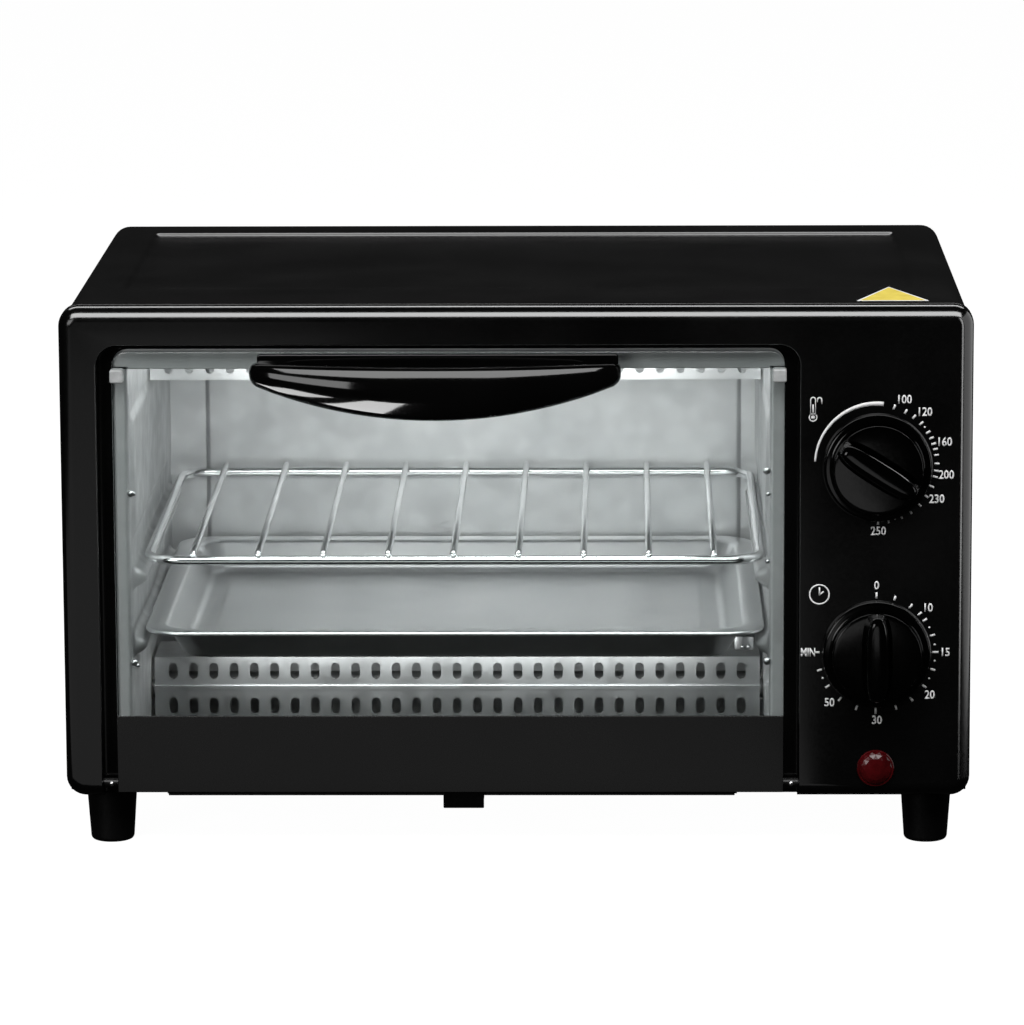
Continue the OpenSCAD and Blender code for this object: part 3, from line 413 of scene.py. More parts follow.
def offsetLoop(loop, inset):
    if not inset:
        return loop
    moved = []
    for i, here in enumerate(loop):
        before, after = Vector(loop[i - 1]), Vector(loop[(i + 1) % len(loop)])
        here = Vector(here)
        e, f = (here - before).normalized(), (after - here).normalized()
        m = Vector((-e.y - f.y, e.x + f.x))
        moved.append(here + m / max(m.length_squared / 2, 0.4) * inset)
    return [tuple(p) for p in moved]


def edgeProfile(w0, w1, front, back, steps):
    angles = bendSteps(steps)
    rows = [(front * (1 - math.sin(a)), w0 + front * (1 - math.cos(a)))
        for a in angles] if front else [(0, w0)]
    far = [(back * (1 - math.sin(a)), w1 - back * (1 - math.cos(a))) for a in angles] if back else [(0, w1)]
    return rows + far[::-1]


# A sheet or slab with soft edges. Holes run clockwise. turn maps (u, depth, v) to a point.
def plate(outer, holes, w0, w1, front=0.4, back=0.2, steps=3, turn=lambda u, w, v: (u, w, v)):
    points, faces, flat = [], [], []
    ends = ([], [])
    rows = edgeProfile(w0, w1, front, back, steps)
    for loop in [outer] + [h[::-1] for h in holes]:
        base, n = len(points), len(loop)
        for inset, w in rows:
            for u, v in offsetLoop(loop, inset):
                points.append(turn(u, w, v))
                flat.append(Vector((u, v, 0)))
        for k in range(len(rows) - 1):
            faces += quads(base + k * n, base + (k + 1) * n, n)
        ends[0].append(range(base, base + n))
        ends[1].append(range(base + (len(rows) - 1) * n, base + len(rows) * n))
    for side in ends:
        ids = [i for loop in side for i in loop]
        cap = geometry.tessellate_polygon([[flat[i] for i in loop] for loop in side])
        faces += [tuple(ids[k] for k in t) for t in cap]
    return points, faces


def loft(rings, caps=(True, True)):
    points = [p for ring in rings for p in ring]
    n = len(rings[0])
    faces = []
    for k in range(len(rings) - 1):
        faces += quads(k * n, (k + 1) * n, n)
    if caps[0]:
        faces.append(tuple(range(n)))
    if caps[1]:
        faces.append(tuple(range((len(rings) - 1) * n, len(rings) * n)))
    return points, faces


# A turned shape about an axis along Y, its profile (radius, y) running from the back to the front
def turned(cx, cz, profile, steps=64):
    return loft([[(x, y, z) for x, z in roundLoop(cx, cz, max(r, 0.01), steps)] for r, y in profile])


def tube(path, r, sides=10, closed=False):
    path = [Vector(p) for p in path]
    n = len(path)
    rings = []
    side = None
    for i, p in enumerate(path):
        a = path[i - 1] if closed or i else p
        b = path[(i + 1) % n] if closed or i < n - 1 else p
        along = (b - a).normalized()
        if side is None:
            side = along.cross(Vector((0, 0, 1)) if abs(along.z) < 0.9 else Vector((1, 0, 0))).normalized()
        side = (side - along * side.dot(along)).normalized()
        other = along.cross(side)
        size = r[i] if isinstance(r, list) else r
        rings.append([tuple(p + (side * math.cos(t) + other * math.sin(t)) * size)
                      for t in (2 * math.pi * k / sides for k in range(sides))])
    if closed:
        rings.append(rings[0])
    return loft(rings, (not closed, not closed))


def bead(p, r, squash=1.0, steps=12):  # a small round nub, its flat side away from the door
    rows = [(r * math.cos(a), p[1] - r * squash * math.sin(a)) for a in bendSteps(4)]
    return turned(p[0], p[2], [(r, p[1] + 0.1)] + rows, steps)


def together(parts):
    points, faces = [], []
    for p, f in parts:
        base = len(points)
        points += p
        faces += [tuple(i + base for i in face) for face in f]
    return points, faces


def makePiece(name, shape, finish, body, stands=(), crease=40, weld=True):
    mesh = bpy.data.meshes.new(name)
    mesh.from_pydata([place(p) for p in shape[0]], [], shape[1])
    work = bmesh.new()
    work.from_mesh(mesh)
    if weld:
        bmesh.ops.remove_doubles(work, verts=work.verts, dist=0.000002)
    bmesh.ops.recalc_face_normals(work, faces=work.faces)
    work.to_mesh(mesh)
    work.free()
    return settle(name, mesh, finish, body, stands, crease)


def settle(name, mesh, finish, body, stands=(), crease=40):
    mesh.shade_smooth()
    mesh.set_sharp_from_angle(angle=math.radians(crease))
    mesh.materials.clear()
    mesh.materials.append(finishes[finish])
    piece = bpy.data.objects.new(name, mesh)
    bpy.context.scene.collection.objects.link(piece)
    if body:
        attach(piece, body)
    if stands:
        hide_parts(*stands)
    return piece


def evenNormals(piece):
    fix = piece.modifiers.new("evenNormals", "WEIGHTED_NORMAL")
    fix.keep_sharp = True
    fix.weight = 100
    return piece


# A CAD solid whose sharp edges are eased
def eased(name, nodeName, width, finish, steps=2, angle=30):
    source = frame["nodes"][nodeName]
    mesh = bpy.data.meshes.new(name)
    work = bmesh.new()
    work.from_mesh(source.data)
    bmesh.ops.remove_doubles(work, verts=work.verts, dist=0.000002)
    bmesh.ops.dissolve_limit(work, angle_limit=math.radians(0.4), verts=work.verts, edges=work.edges)
    work.to_mesh(mesh)
    work.free()
    for spare in ("custom_normal", "sharp_face", "sharp_edge"):
        if spare in mesh.attributes:
            mesh.attributes.remove(mesh.attributes[spare])
    piece = settle(name, mesh, finish, source["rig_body"], (nodeName,), angle)
    bevel = piece.modifiers.new("easedEdges", "BEVEL")
    bevel.width = width * unit
    bevel.segments = steps
    bevel.angle_limit = math.radians(angle)
    evenNormals(piece)


def ramp(t):
    t = min(1.0, max(0.0, t))
    return t * t * (3 - 2 * t)


def hump(v, low, high, slope):  # 0 outside, 1 inside, with soft shoulders
    return ramp((v - low) / slope) * ramp((high - v) / slope)


def finer(stops, step):
    values = []
    for a, b in zip(stops, stops[1:]):
        n = max(1, math.ceil((b - a) / step))
        values += [a + (b - a) * k / n for k in range(n)]
    return values + [stops[-1]]


def gridShape(us, vs, point, keep=lambda u, v: True):
    points = [point(u, v) for u in us for v in vs]
    n = len(vs)
    faces = []
    for i in range(len(us) - 1):
        for j in range(n - 1):
            if keep((us[i] + us[i + 1]) / 2, (vs[j] + vs[j + 1]) / 2):
                faces.append((i * n + j, i * n + j + 1, (i + 1) * n + j + 1, (i + 1) * n + j))
    return points, faces


def thicken(piece, amount, offset, crease=50):  # gives a skin its wall, with crisp rims
    solid = piece.modifiers.new("sheet", "SOLIDIFY")
    solid.thickness = amount * unit
    solid.offset = offset
    bpy.context.view_layer.update()
    mesh = bpy.data.meshes.new_from_object(piece.evaluated_get(bpy.context.evaluated_depsgraph_get()))
    piece.modifiers.remove(solid)
    piece.data = mesh
    mesh.set_sharp_from_angle(angle=math.radians(crease))
    return piece


# Casing

frameLow, frameHigh = span("front_bezel")
coverLow, coverHigh = span("top_cover")
doorLow, doorHigh = span("door_band")
paneHigh = span("door_glass")[1]

casing = {
    "rearEdge": 0.3,
    "corner": 8,
    "edge": 5.7,
    "openingEdge": 0.16,  # share of that edge on the door opening's side
    "gap": 5.7,
    "gapTop": 2.2,
    "wall": 1.6,
    "lip": (9, 10.5),
    "groove": 0.45,
    "recessX": 162,
    "recessY": (58, 226),
    "recess": 1.2,
    "recessSlope": 3.4,
    "vents": 9,
    "ventPitch": 11,
    "ventZ": 181,
    "sheet": 0.8,
}


def archLoop(x0, x1, foot, top, r, steps=6):  # from the right foot over the top to the left foot
    return [(x1, foot)] + roundRect(x0, foot - 90, x1, top, r, steps)[:2 * steps + 2] + [(x0, foot)]


# One skin round the whole frame: the outer rim rolls over to the face, which turns in round the door opening
def makeFrame():
    x0, x1, z0, z1 = frameLow.x, frameHigh.x, frameLow.z, frameHigh.z
    open0, open1 = doorLow.x - casing["gap"], doorHigh.x + casing["gap"]
    openTop = paneHigh.z + casing["gapTop"]
    outer = roundRect(x0, z0, x1, z1, casing["corner"], 8)
    inner = offsetLoop(outer, 1.0)
    marks = [(p, (q[0] - p[0], q[1] - p[1])) for p, q in zip(outer, inner)]
    # the opening's foot splits the lower edge, after the left corner and before the right one
    lowerLeft = [m for m in marks if m[0][0] < 0]
    lowerRight = [m for m in marks if m[0][0] > 0 and m[0][1] < (z0 + z1) / 2]
    upperRight = [m for m in marks if m[0][0] > 0 and m[0][1] > (z0 + z1) / 2]
    e = casing["openingEdge"]
    arch = archLoop(open0, open1, z0, openTop, casing["corner"], 8)
    archIn = offsetLoop([(open1, z0 - 40)] + arch[1:-1] + [(open0, z0 - 40)], 1.0)[1:-1]
    inside = [(p, ((p[0] - q[0]) * e, (p[1] - q[1]) * e)) for p, q in zip(arch[1:-1], archIn)]
    footRight = ((open1, z0), (e, 1.0))
    footLeft = ((open0, z0), (-e, 1.0))
    loop = upperRight + lowerLeft + [footLeft] + inside[::-1] + [footRight] + lowerRight
    rows = [(casing["edge"] * (1 - math.sin(a)), casing["edge"] * (1 - math.cos(a))) for a in bendSteps(9)]
    g = casing["groove"]
    rows += [(0, 7.2), (0.1, 7.5), (g, 7.9), (g, 8.5), (0.1, 8.9), (0, 9.2), (0, 12.6), (0.15, 13.2),
        (0.5, 13.8), (1.0, frameHigh.y)]
    points = [(p[0] + m[0] * inset, y, p[1] + m[1] * inset) for inset, y in rows for p, m in loop]
    n = len(loop)
    faces = [f for k in range(len(rows) - 1) for f in quads(k * n, (k + 1) * n, n)]
    holes = []
    for node, r in (("temp_knob", 4), ("timer_knob", 4), ("indicator_lens", 6)):
        low, high = span(node)
        ring = roundLoop((low.x + high.x) / 2, (low.z + high.z) / 2, r, 24)[::-1]
        holes.append(range(len(points), len(points) + 24))
        points += [(u, 0, v) for u, v in ring]
    loops = [range(n)] + holes
    ids = [i for each in loops for i in each]
    cap = geometry.tessellate_polygon([[Vector((points[i][0], points[i][2], 0)) for i in each]
        for each in loops])
    faces += [tuple(ids[k] for k in t) for t in cap]
    piece = makePiece("frontFrame", (points, faces), "framePaint", "chassis",
        ("front_bezel",), 50)
    thicken(piece, casing["wall"], -1)
    evenNormals(piece)
    channel = archLoop(open0 - 1.2, open1 + 1.2, z0, openTop + 1.2, casing["corner"], 8)
    opening = archLoop(doorLow.x, doorHigh.x, z0, paneHigh.z, 6, 8)
    lip = plate(channel + opening[::-1], [], casing["lip"][0], casing["lip"][1], 0.3, 0)
    evenNormals(makePiece("doorChannel", lip, "framePaint", "chassis"))


def makeCover():
    x0, x1, top = coverLow.x, coverHigh.x, coverHigh.z
    y0, y1 = coverLow.y, coverHigh.y
    r = casing["corner"]
    slots = []
    for i in range(casing["vents"]):
        y = (y1 / 2) + (i - (casing["vents"] - 1) / 2) * casing["ventPitch"]
        slots.append(roundRect(y - 1.5, casing["ventZ"] - 13, y + 1.5, casing["ventZ"] + 13, 1.49, 5))
    parts = []
    for x, s in ((x0, 1), (x1, -1)):
        outline = [(y0, coverLow.z), (y1, coverLow.z), (y1, top - r), (y0, top - r)]
        parts.append(plate(outline, slots, 0, casing["sheet"], 0.0, 0.0, 2, lambda u, w,
            v: (x + s * w, u, v)))
    evenNormals(makePiece("coverSides", together(parts), "coverPaint", "chassis",
        ("top_cover",)))
    a, slope = casing["recessX"], casing["recessSlope"]
    b0, b1 = casing["recessY"]
    arc = [k / 8 for k in range(9)]
    us = finer([-a, -a + slope, a - slope, a], 12)
    us = sorted(set(us) | set(finer([-a, -a + slope], 0.45)) | set(finer([a - slope, a], 0.45)))
    us = [x0 + r - 0.01] + us + [x1 - r + 0.01]
    vs = finer([y0, b0, b0 + slope, b1 - slope, b1, y1 - 1.2, y1 - 0.3, y1], 12)
    vs = sorted(set(vs) | set(finer([b0, b0 + slope], 0.45)) | set(finer([b1 - slope, b1], 0.45)))
    across = [("left", t) for t in arc] + [("top", u) for u in us[1:-1]] + [("right", t) for t in arc[::-1]]

    def point(u, v):
        kind, t = across[int(u)]
        drop = 0.35 * ramp((v - (y1 - 1.2)) / 1.2)
        if kind == "top":
            down = casing["recess"] * hump(t, -a, a, slope) * hump(v, b0, b1, slope)
            return t, v, top - down - drop
        angle = math.pi / 2 * t
        x = (x0 + r - r * math.cos(angle)) if kind == "left" else (x1 - r + r * math.cos(angle))
        return x, v, top - r + r * math.sin(angle) - drop

    shape = gridShape(list(range(len(across))), vs, point)
    piece = makePiece("coverTop", shape, "coverPaint", "chassis", crease=60)
    thicken(piece, casing["sheet"], -1)


makeFrame()
makeCover()
eased("rearPanel", "rear_panel", casing["rearEdge"], "rearPaint")
for corner in ("front_left", "front_right", "rear_left", "rear_right"):
    eased("foot." + corner, "foot_" + corner, 0.6, "footPlastic", steps=3)
eased("cordGland", "cord_gland", 0.5, "glandPlastic", steps=3)
print("casing made")

# Door

glassLow, glassHigh = span("door_glass")
handleLow, handleHigh = span("door_handle")
screwLow, screwHigh = span("handle_screws")

door = {
    "glassEdge": 0.7,
    "glassCorner": 6,
    "bandEdge": 0.6,
    "gripHalf": 74,
    "gripEdge": 2.4,
    "bulge": 3.0,
    "endReach": 6,
    "endDeep": 8.6,
    "endRound": 4,
    "padStart": 56,
    "padSlope": 4,
}


def makeGlass():
    outline = [(glassLow.x, glassLow.z), (glassHigh.x, glassLow.z)]
    corners = roundRect(glassLow.x, glassLow.z - 50, glassHigh.x, glassHigh.z, door["glassCorner"], 8)
    outline += [p for p in corners if p[1] > glassLow.z]
    zHole = (screwLow.z + screwHigh.z) / 2
    holes = [roundLoop(x, zHole, 2.5, 20) for x in (screwLow.x + 3.4, screwHigh.x - 3.4)]
    shape = plate(outline, holes, glassLow.y, glassHigh.y, door["glassEdge"], door["glassEdge"], 3)
    evenNormals(makePiece("doorPane", shape, "paneGlass", "door", ("door_glass",)))


# The bow across the door: an arc in plan and in front view, with a solid pad at each end
def makeHandle():
    half, tip = door["gripHalf"], door["endRound"]
    cx = handleLow.x + half
    top = handleHigh.z - 3
    reach, endReach = -handleLow.y, door["endReach"]
    deep, endDeep = top - handleLow.z, door["endDeep"]
    back = glassLow.y
    planR = (half * half + (reach - endReach) ** 2) / (2 * (reach - endReach))
    bellyR = (half * half + (deep - endDeep) ** 2) / (2 * (deep - endDeep))
    stations = sorted({round(s, 3) for s in [half - tip + tip * math.sin(a) for a in bendSteps(6)]
                       + [k * 3.5 for k in range(21)] + [56, 57, 58, 59, 60]} - {66.5, 70.0})
    xs = [-s for s in stations[::-1] if s] + stations
    rings = []
    for x in xs:
        end = max(0.0, (abs(x) - (half - tip)) / tip)
        shrink = 1 - math.sqrt(max(0.0, 1 - end * end))
        y0 = -(reach - (planR - math.sqrt(planR * planR - x * x)))
        z0 = -(deep - (bellyR - math.sqrt(bellyR * bellyR - x * x)))
        join = ramp((abs(x) - door["padStart"]) / door["padSlope"])
        y1 = min(back, (y0 + 8) * (1 - join) + back * join)
        inset = 2.6 * shrink
        y0, z0, z1 = y0 + inset, z0 + inset, -inset
        lower, upper = min(door["gripEdge"], -z0 * 0.42), 1.6
        shareOf = min(1.0, (z1 - z0) / 20)
        ring = []
        for cy, cz, ry, rz, start in ((y0, z0, min(4.2, (y1 - y0) * 0.6), lower, 180),
                (y1, z0, 0.8, 0.8, 270),
                                      (y1, z1, 0.8, 0.8, 0), (y0, z1, 1.8, upper, 90)):
            sy = 1 if cy == y0 else -1
            sz = 1 if cz == z0 else -1
            for k in range(7):
                a = math.radians(start + 90 * k / 6)
                ring.append((cy + sy * ry + ry * math.cos(a), cz + sz * rz + rz * math.sin(a)))
        ring += [(y0, z1 - upper + (z0 + lower - z1 + upper) * k / 10) for k in range(1, 10)]
        swell = []
        for y, z in ring:
            off = (2 * z - z0 - z1) / (z1 - z0)
            push = max(0.0, 1 - (y - y0) / 5) * door["bulge"] * shareOf * off * off
            swell.append((cx + x, y + push, top + z))
        rings.append(swell)
    bow = loft(rings)
    strip = plate(roundRect(handleLow.x + 3, top - 8.6, handleHigh.x - 1, handleHigh.z, 1.2), [],
        back - 1.5, back, 0.5, 0)
    makePiece("handleBow", together([bow, strip]), "handlePlastic", "door",
        ("door_handle",), 50)


def makeBumper(side):
    name = "door_bumper_" + side
    low, high = span(name)
    tuck = (high.x - low.x) * 0.12
    shape = plate(roundRect(low.x + tuck, low.z + 0.5, high.x - tuck, high.z - 0.3, 0.9, 4), [], low.y,
        high.y, 0.6, 0.4)
    evenNormals(makePiece("glassBumper." + side, shape, "silicone", "door", (name,)))


def makeStud(side, x):  # the polished end of a hinge pin
    low, high = span("hinge_pin_" + side)
    stud = bead((x, low.y + 0.3, (low.z + high.z) / 2), 1.1, 0.8, 20)
    makePiece("hingeStud." + side, stud, "screwSteel", "door", crease=50)


makeGlass()
makeStud("left", doorLow.x - 2.8)
makeStud("right", doorHigh.x + 3.2)
eased("doorBand", "door_band", door["bandEdge"], "bandPaint", steps=3)
eased("bandStrip", "door_inner_strip", 0.25, "bandPaint")
makeHandle()
for side in ("left", "right"):
    makeBumper(side)
print("door made")

# Controls

knob = {"skirtEdge": 1.3, "skirtY": -4.2, "discEdge": 0.8, "discY": -9, "ridgeWide": 6.3, "ridgeEnd": 6.0}


def makeKnob(name, nodeName, body, angle):
    low, high = span(nodeName)
    cx, cz = (low.x + high.x) / 2, (low.z + high.z) / 2
    big = (high.x - low.x) / 2
    disc = big - 3.8
    e, f = knob["skirtEdge"], knob["discEdge"]
    profile = [(big - 1.5, -0.8), (big - 0.2, -0.8), (big, -1.1)]
    profile += [(big - 0.35 - e * (1 - math.cos(a)), knob["skirtY"] + e * (1 - math.sin(a)))
        for a in bendSteps(5)]
    profile += [(disc + 1.2, -4.2), (disc + 0.5, -4.35), (disc + 0.1, -4.8)]
    profile += [(disc - 0.25 - f * (1 - math.cos(a)), knob["discY"] + f * (1 - math.sin(a)))
        for a in bendSteps(5)]
    profile += [(disc - 2.0, -9.05), (disc * 0.6, -9.1), (disc * 0.3, -9.1), (0.4, -9.1)]
    base = turned(cx, cz, profile, 72)
    rings = []
    top = low.y
    # (y, share of the width, share of the length)
    levels = [(-8.4, 1.0, 1.0), (-9.3, 0.98, 1.0), (-9.8, 0.95, 0.995), (-11, 0.88, 0.985),
        (-12.4, 0.80, 0.97), (-13.4, 0.74, 0.96)]
    for a in bendSteps(6)[1:]:
        levels.append((-13.4 + (top + 13.4) * math.sin(a), 0.74 - 0.46 * (1 - math.cos(a)),
            0.96 - 0.16 * (1 - math.cos(a))))
    turnBy = math.radians(angle)
    for y, wide, long in levels:
        ring = []
        for k in range(48):
            t = 2 * math.pi * k / 48
            v = math.copysign(abs(math.sin(t)) ** 0.62, math.sin(t))
            w = knob["ridgeEnd"] + (knob["ridgeWide"] - knob["ridgeEnd"]) * (1 - v * v)
            u = math.copysign(abs(math.cos(t)) ** 0.62, math.cos(t)) * w * wide
            v *= (disc - 0.15) * long
            fit = min(1.0, (disc - 0.15) * long / max(math.hypot(u, v), 0.01))
            u, v = u * fit, v * fit
            ring.append((cx + u * math.cos(turnBy) + v * math.sin(turnBy), y,
                cz - u * math.sin(turnBy) + v * math.cos(turnBy)))
        rings.append(ring)
    makePiece(name, together([base, loft(rings)]), "knobPlastic", body, (nodeName,), 38,
        weld=False)


def makeLens():
    low, high = span("indicator_lens")
    cx, cz, r = (low.x + high.x) / 2, (low.z + high.z) / 2, (high.x - low.x) / 2
    rim = turned(cx, cz, [(r - 2, 6), (r - 1.8, 0), (r, -0.1), (r, -0.9), (r - 0.3, -1.3), (r - 0.7, -1.3)],
        48)
    rings = []
    n = 14
    for k, (size, y) in enumerate([(r - 0.6, -1.2), (r - 1.5, -2.1), (r - 3.1, -2.9), (r - 5.0, -3.3),
            (0.4, low.y)]):
        rings.append([(cx + size * math.cos(2 * math.pi * (i + k / 2) / n), y,
            cz + size * math.sin(2 * math.pi * (i + k / 2) / n)) for i in range(n)])
    points = [p for ring in rings for p in ring]
    faces = []
    for k in range(len(rings) - 1):
        for i in range(n):
            j = (i + 1) % n
            a, b, c, d = k * n + i, k * n + j, (k + 1) * n + i, (k + 1) * n + j
            faces += [(a, b, c), (b, d, c)]
    faces += [tuple(range((len(rings) - 1) * n, len(rings) * n)), tuple(range(n))]
    makePiece("lampLens", together([rim, (points, faces)]), "lensRed", "chassis",
        ("indicator_lens",), 6, weld=False)


dials = {
    "x": 144.3,
    "tempZ": 159.8,
    "timerZ": 82.4,
    "tick": 23.7,
    "number": 27.6,
    "digit": 3.5,
    "lift": 0.03,
    "clock": (121.4, 106.5),
    "hands": (((121.1, 106.3), (121.75, 106.3), (121.75, 109.4), (121.1, 109.4)),
              ((121.1, 106.3), (121.4, 105.9), (123.3, 107.5), (122.9, 108.0))),
    "thermometer": (118.5, 182.2),
    "stemOutside": ((-1.15, -3), (-1.15, 3.6), (-0.8, 4.3), (0, 4.6), (0.8, 4.3), (1.15, 3.6), (1.15, -3)),
    "stemInside": ((-0.75, -3), (-0.75, 3.4), (-0.5, 3.9), (0, 4.1), (0.5, 3.9), (0.75, 3.4), (0.75, -3)),
    "tempTicks": (16, 28, 37.5, 47, 58, 64.5, 70.5, 76, 82, 90.5, 97.5, 103.5, 113.5, 124.5, 135, 146, 156,
    169, 179),
    "tempDots": (52, 162.5),
    "tempNumbers": ((21.5, "100"), (41.5, "120"), (72, "160"), (100, "200"), (122, "230"), (179.5, "250")),
    "timerTicks": (0, 18, 35.5, 47, 55, 72, 89, 106.5, 125, 143, 160, 180, 199, 217.5, 235, 253, 271),
    "timerDots": (63.5, 81.5, 97.5, 116, 244.5),
    "timerNumbers": ((0, "0"), (48, "10"), (89.5, "15"), (128.5, "20"), (179, "30"), (222.5, "50"),
    (270.5, "MIN")),
}


def wordShape(words, x, z, size, squeeze=1.0):
    curve = bpy.data.curves.new("words", "FONT")
    curve.body = words
    curve.align_x = "CENTER"
    curve.align_y = "CENTER"
    curve.size = size * 1.38
    curve.resolution_u = 3
    curve.offset = size * 0.030
    item = bpy.data.objects.new("words", curve)
    bpy.context.scene.collection.objects.link(item)
    bpy.context.view_layer.update()
    mesh = item.evaluated_get(bpy.context.evaluated_depsgraph_get()).to_mesh()
    points = [(x + v.co.x * squeeze, -dials["lift"], z + v.co.y) for v in mesh.vertices]
    faces = [tuple(p.vertices) for p in mesh.polygons]
    item.to_mesh_clear()
    bpy.data.objects.remove(item)
    return points, faces


def printed(outline):  # a flat mark of paint on the panel
    return [(u, -dials["lift"], v) for u, v in outline], [tuple(range(len(outline)))]


def printedLine(first, second, closed=False):  # paint between two lines of as many points
    faces = quads(0, len(first), len(first))
    return [(u, -dials["lift"], v) for u, v in first + second], faces if closed else faces[:-1]


def makeDials():
    parts = []
    cx = dials["x"]
    for dial in ("temp", "timer"):
        cz, ticks, dots, numbers = [dials[dial + item] for item in ("Z", "Ticks", "Dots", "Numbers")]
        for angle in ticks:
            a = math.radians(angle)
            out, across = Vector((math.sin(a), math.cos(a))), Vector((math.cos(a), -math.sin(a)))
            mid = Vector((cx, cz)) + out * dials["tick"]
            long = 1.25 if angle % 90 in (0, 89) else 1.0
            parts.append(printed([tuple(mid + out * long * s + across * 0.42 * t) for s,
                t in ((-1, -1), (-1, 1), (1, 1), (1, -1))]))
        for angle in dots:
            a = math.radians(angle)
            parts.append(printed(roundLoop(cx + dials["tick"] * math.sin(a),
                cz + dials["tick"] * math.cos(a), 0.42, 10)))
        for angle, words in numbers:
            a = math.radians(angle)
            parts.append(wordShape(words, cx + dials["number"] * math.sin(a) + (0.3 if len(words) > 2 else 0),
                                   cz + dials["number"] * math.cos(a), dials["digit"],
                                   0.86 if words != "MIN" else 0.7))
    inner, outer = [], []
    for k in range(41):  # the sweep that grows from cold to warm
        a = math.radians(-88.5 + 94 * k / 40)
        thick = 0.35 + 0.55 * k / 40
        mid = 24.9 - 0.8 * k / 40
        inner.append((cx + (mid - thick) * math.sin(a), dials["tempZ"] + (mid - thick) * math.cos(a)))
        outer.append((cx + (mid + thick) * math.sin(a), dials["tempZ"] + (mid + thick) * math.cos(a)))
    parts.append(printedLine(inner, outer))
    x, z = dials["clock"]
    parts.append(printedLine(roundLoop(x, z, 4.2, 40), roundLoop(x, z, 3.6, 40), True))
    for hand in dials["hands"]:
        parts.append(printed(hand))
    # thermometer: stem outline, bulb and a hook
    x, z = dials["thermometer"]
    stem, wall = [[(x + u, z + v) for u, v in dials[side]] for side in ("stemOutside", "stemInside")]
    parts.append(printedLine(stem, wall))
    parts.append(printedLine(roundLoop(x, z - 3.8, 1.75, 28), roundLoop(x, z - 3.8, 1.3, 28), True))
    parts.append(printed(roundLoop(x, z - 3.8, 0.8, 18)))
    parts.append(printed([(x - 0.25, z - 3.4), (x + 0.25, z - 3.4), (x + 0.25, z + 1.5),
        (x - 0.25, z + 1.5)]))
    hook = [(x + 2.6 + 1.1 * math.cos(a), z + 3.4 + 1.1 * math.sin(a))
        for a in (math.radians(180 - 20 * k) for k in range(10))]
    hook = [(x + 1.5, z + 2.4)] + hook + [(x + 3.75, z + 1.6)]
    thin = [(u + 0.45 * (1 if k < 6 else -1), v - 0.45 * (1 if 1 < k < 11 else 0)) for k,
        (u, v) in enumerate(hook)]
    parts.append(printedLine(hook, thin))
    piece = makePiece("dialPrint", together(parts), "printWhite", "chassis", weld=False)
    thick = piece.modifiers.new("paint", "SOLIDIFY")
    thick.thickness = 0.00003
    thick.offset = 0


makeKnob("knob.temp", "temp_knob", "temp_control", 122.5)
makeKnob("knob.timer", "timer_knob", "timer_control", 0)
makeLens()
makeDials()
print("controls made")

# Cavity

wallLow = span("cavity_left_wall")[0]
backLow, backHigh = span("cavity_back")
rackLow, rackHigh = span("wire_rack")
trayLow, trayHigh = span("baking_tray")

cavity = {
    "sheet": 0.7,
    "flange": 10.2,  # width of the flange in front of each side wall
    "guides": ((76, 86.3, 5.4), (103.7, 114.7, 5.4), (125, 177, 1.3)),
    "guideSlope": 4.5,
    "armSlot": (-6.3, -1.9, 50),
    "press": 1.4,
    "pressSlope": 2.2,
}


def makeSideWall(name, nodeName, x0, inward):
    front = wallLow.y
    deep = backHigh.y
    low, high = wallLow.z, backHigh.z
    bend = 1.4
    slot = cavity["armSlot"]
    # s runs across the flange to the bend, then back along the wall
    flangeStops = [-cavity["flange"], slot[0], slot[1], -bend]
    bends = [-bend + bend * k / 5 for k in range(1, 6)]
    depths = finer([front + bend, front + 7, front + 15], 1.1) + finer([front + 15, deep - 23], 9)[1:]
    depths += finer([deep - 23, deep - 12, deep], 1.2)[1:]
    us = finer(flangeStops, 3) + bends + [d - front for d in depths[1:]]
    edges = sorted({low, slot[2], high} | {v + s for g in cavity["guides"] for v,
        s in ((g[0], -0.5), (g[0], 0), (g[1], 0), (g[1], 0.5))})
    vs = finer(edges, 1.5)

    def point(u, v):
        if u <= -bend:
            x, y = u, front
        elif u <= 0:
            a = math.pi / 2 * (u + bend) / bend
            x, y = -bend + bend * math.sin(a), front + bend * (1 - math.cos(a))
        else:
            x, y = 0, front + bend + u * (deep - front - bend) / (deep - front)
        push = 0
        if u > 0:
            for lowZ, highZ, deepX in cavity["guides"]:
                slope = min(cavity["guideSlope"], (highZ - lowZ) * 0.42)
                push = max(push, hump(v, lowZ, highZ, slope) * hump(y, front + 7.5, deep - 13.5, 6) * deepX)
            # slight waviness of thin sheet
            push += 0.35 * math.sin(y * 0.045) * math.sin(v * 0.06) * hump(y, front, deep, 20)
        return x0 + inward * (x + push), y, v

    def keep(u, v):
        return not (slot[0] < u < slot[1] and v < slot[2])

    wall = gridShape(us, vs, point, keep)
    piece = makePiece(name, wall, "cavitySteel", "chassis", (nodeName,), 60)
    thicken(piece, cavity["sheet"], -1)


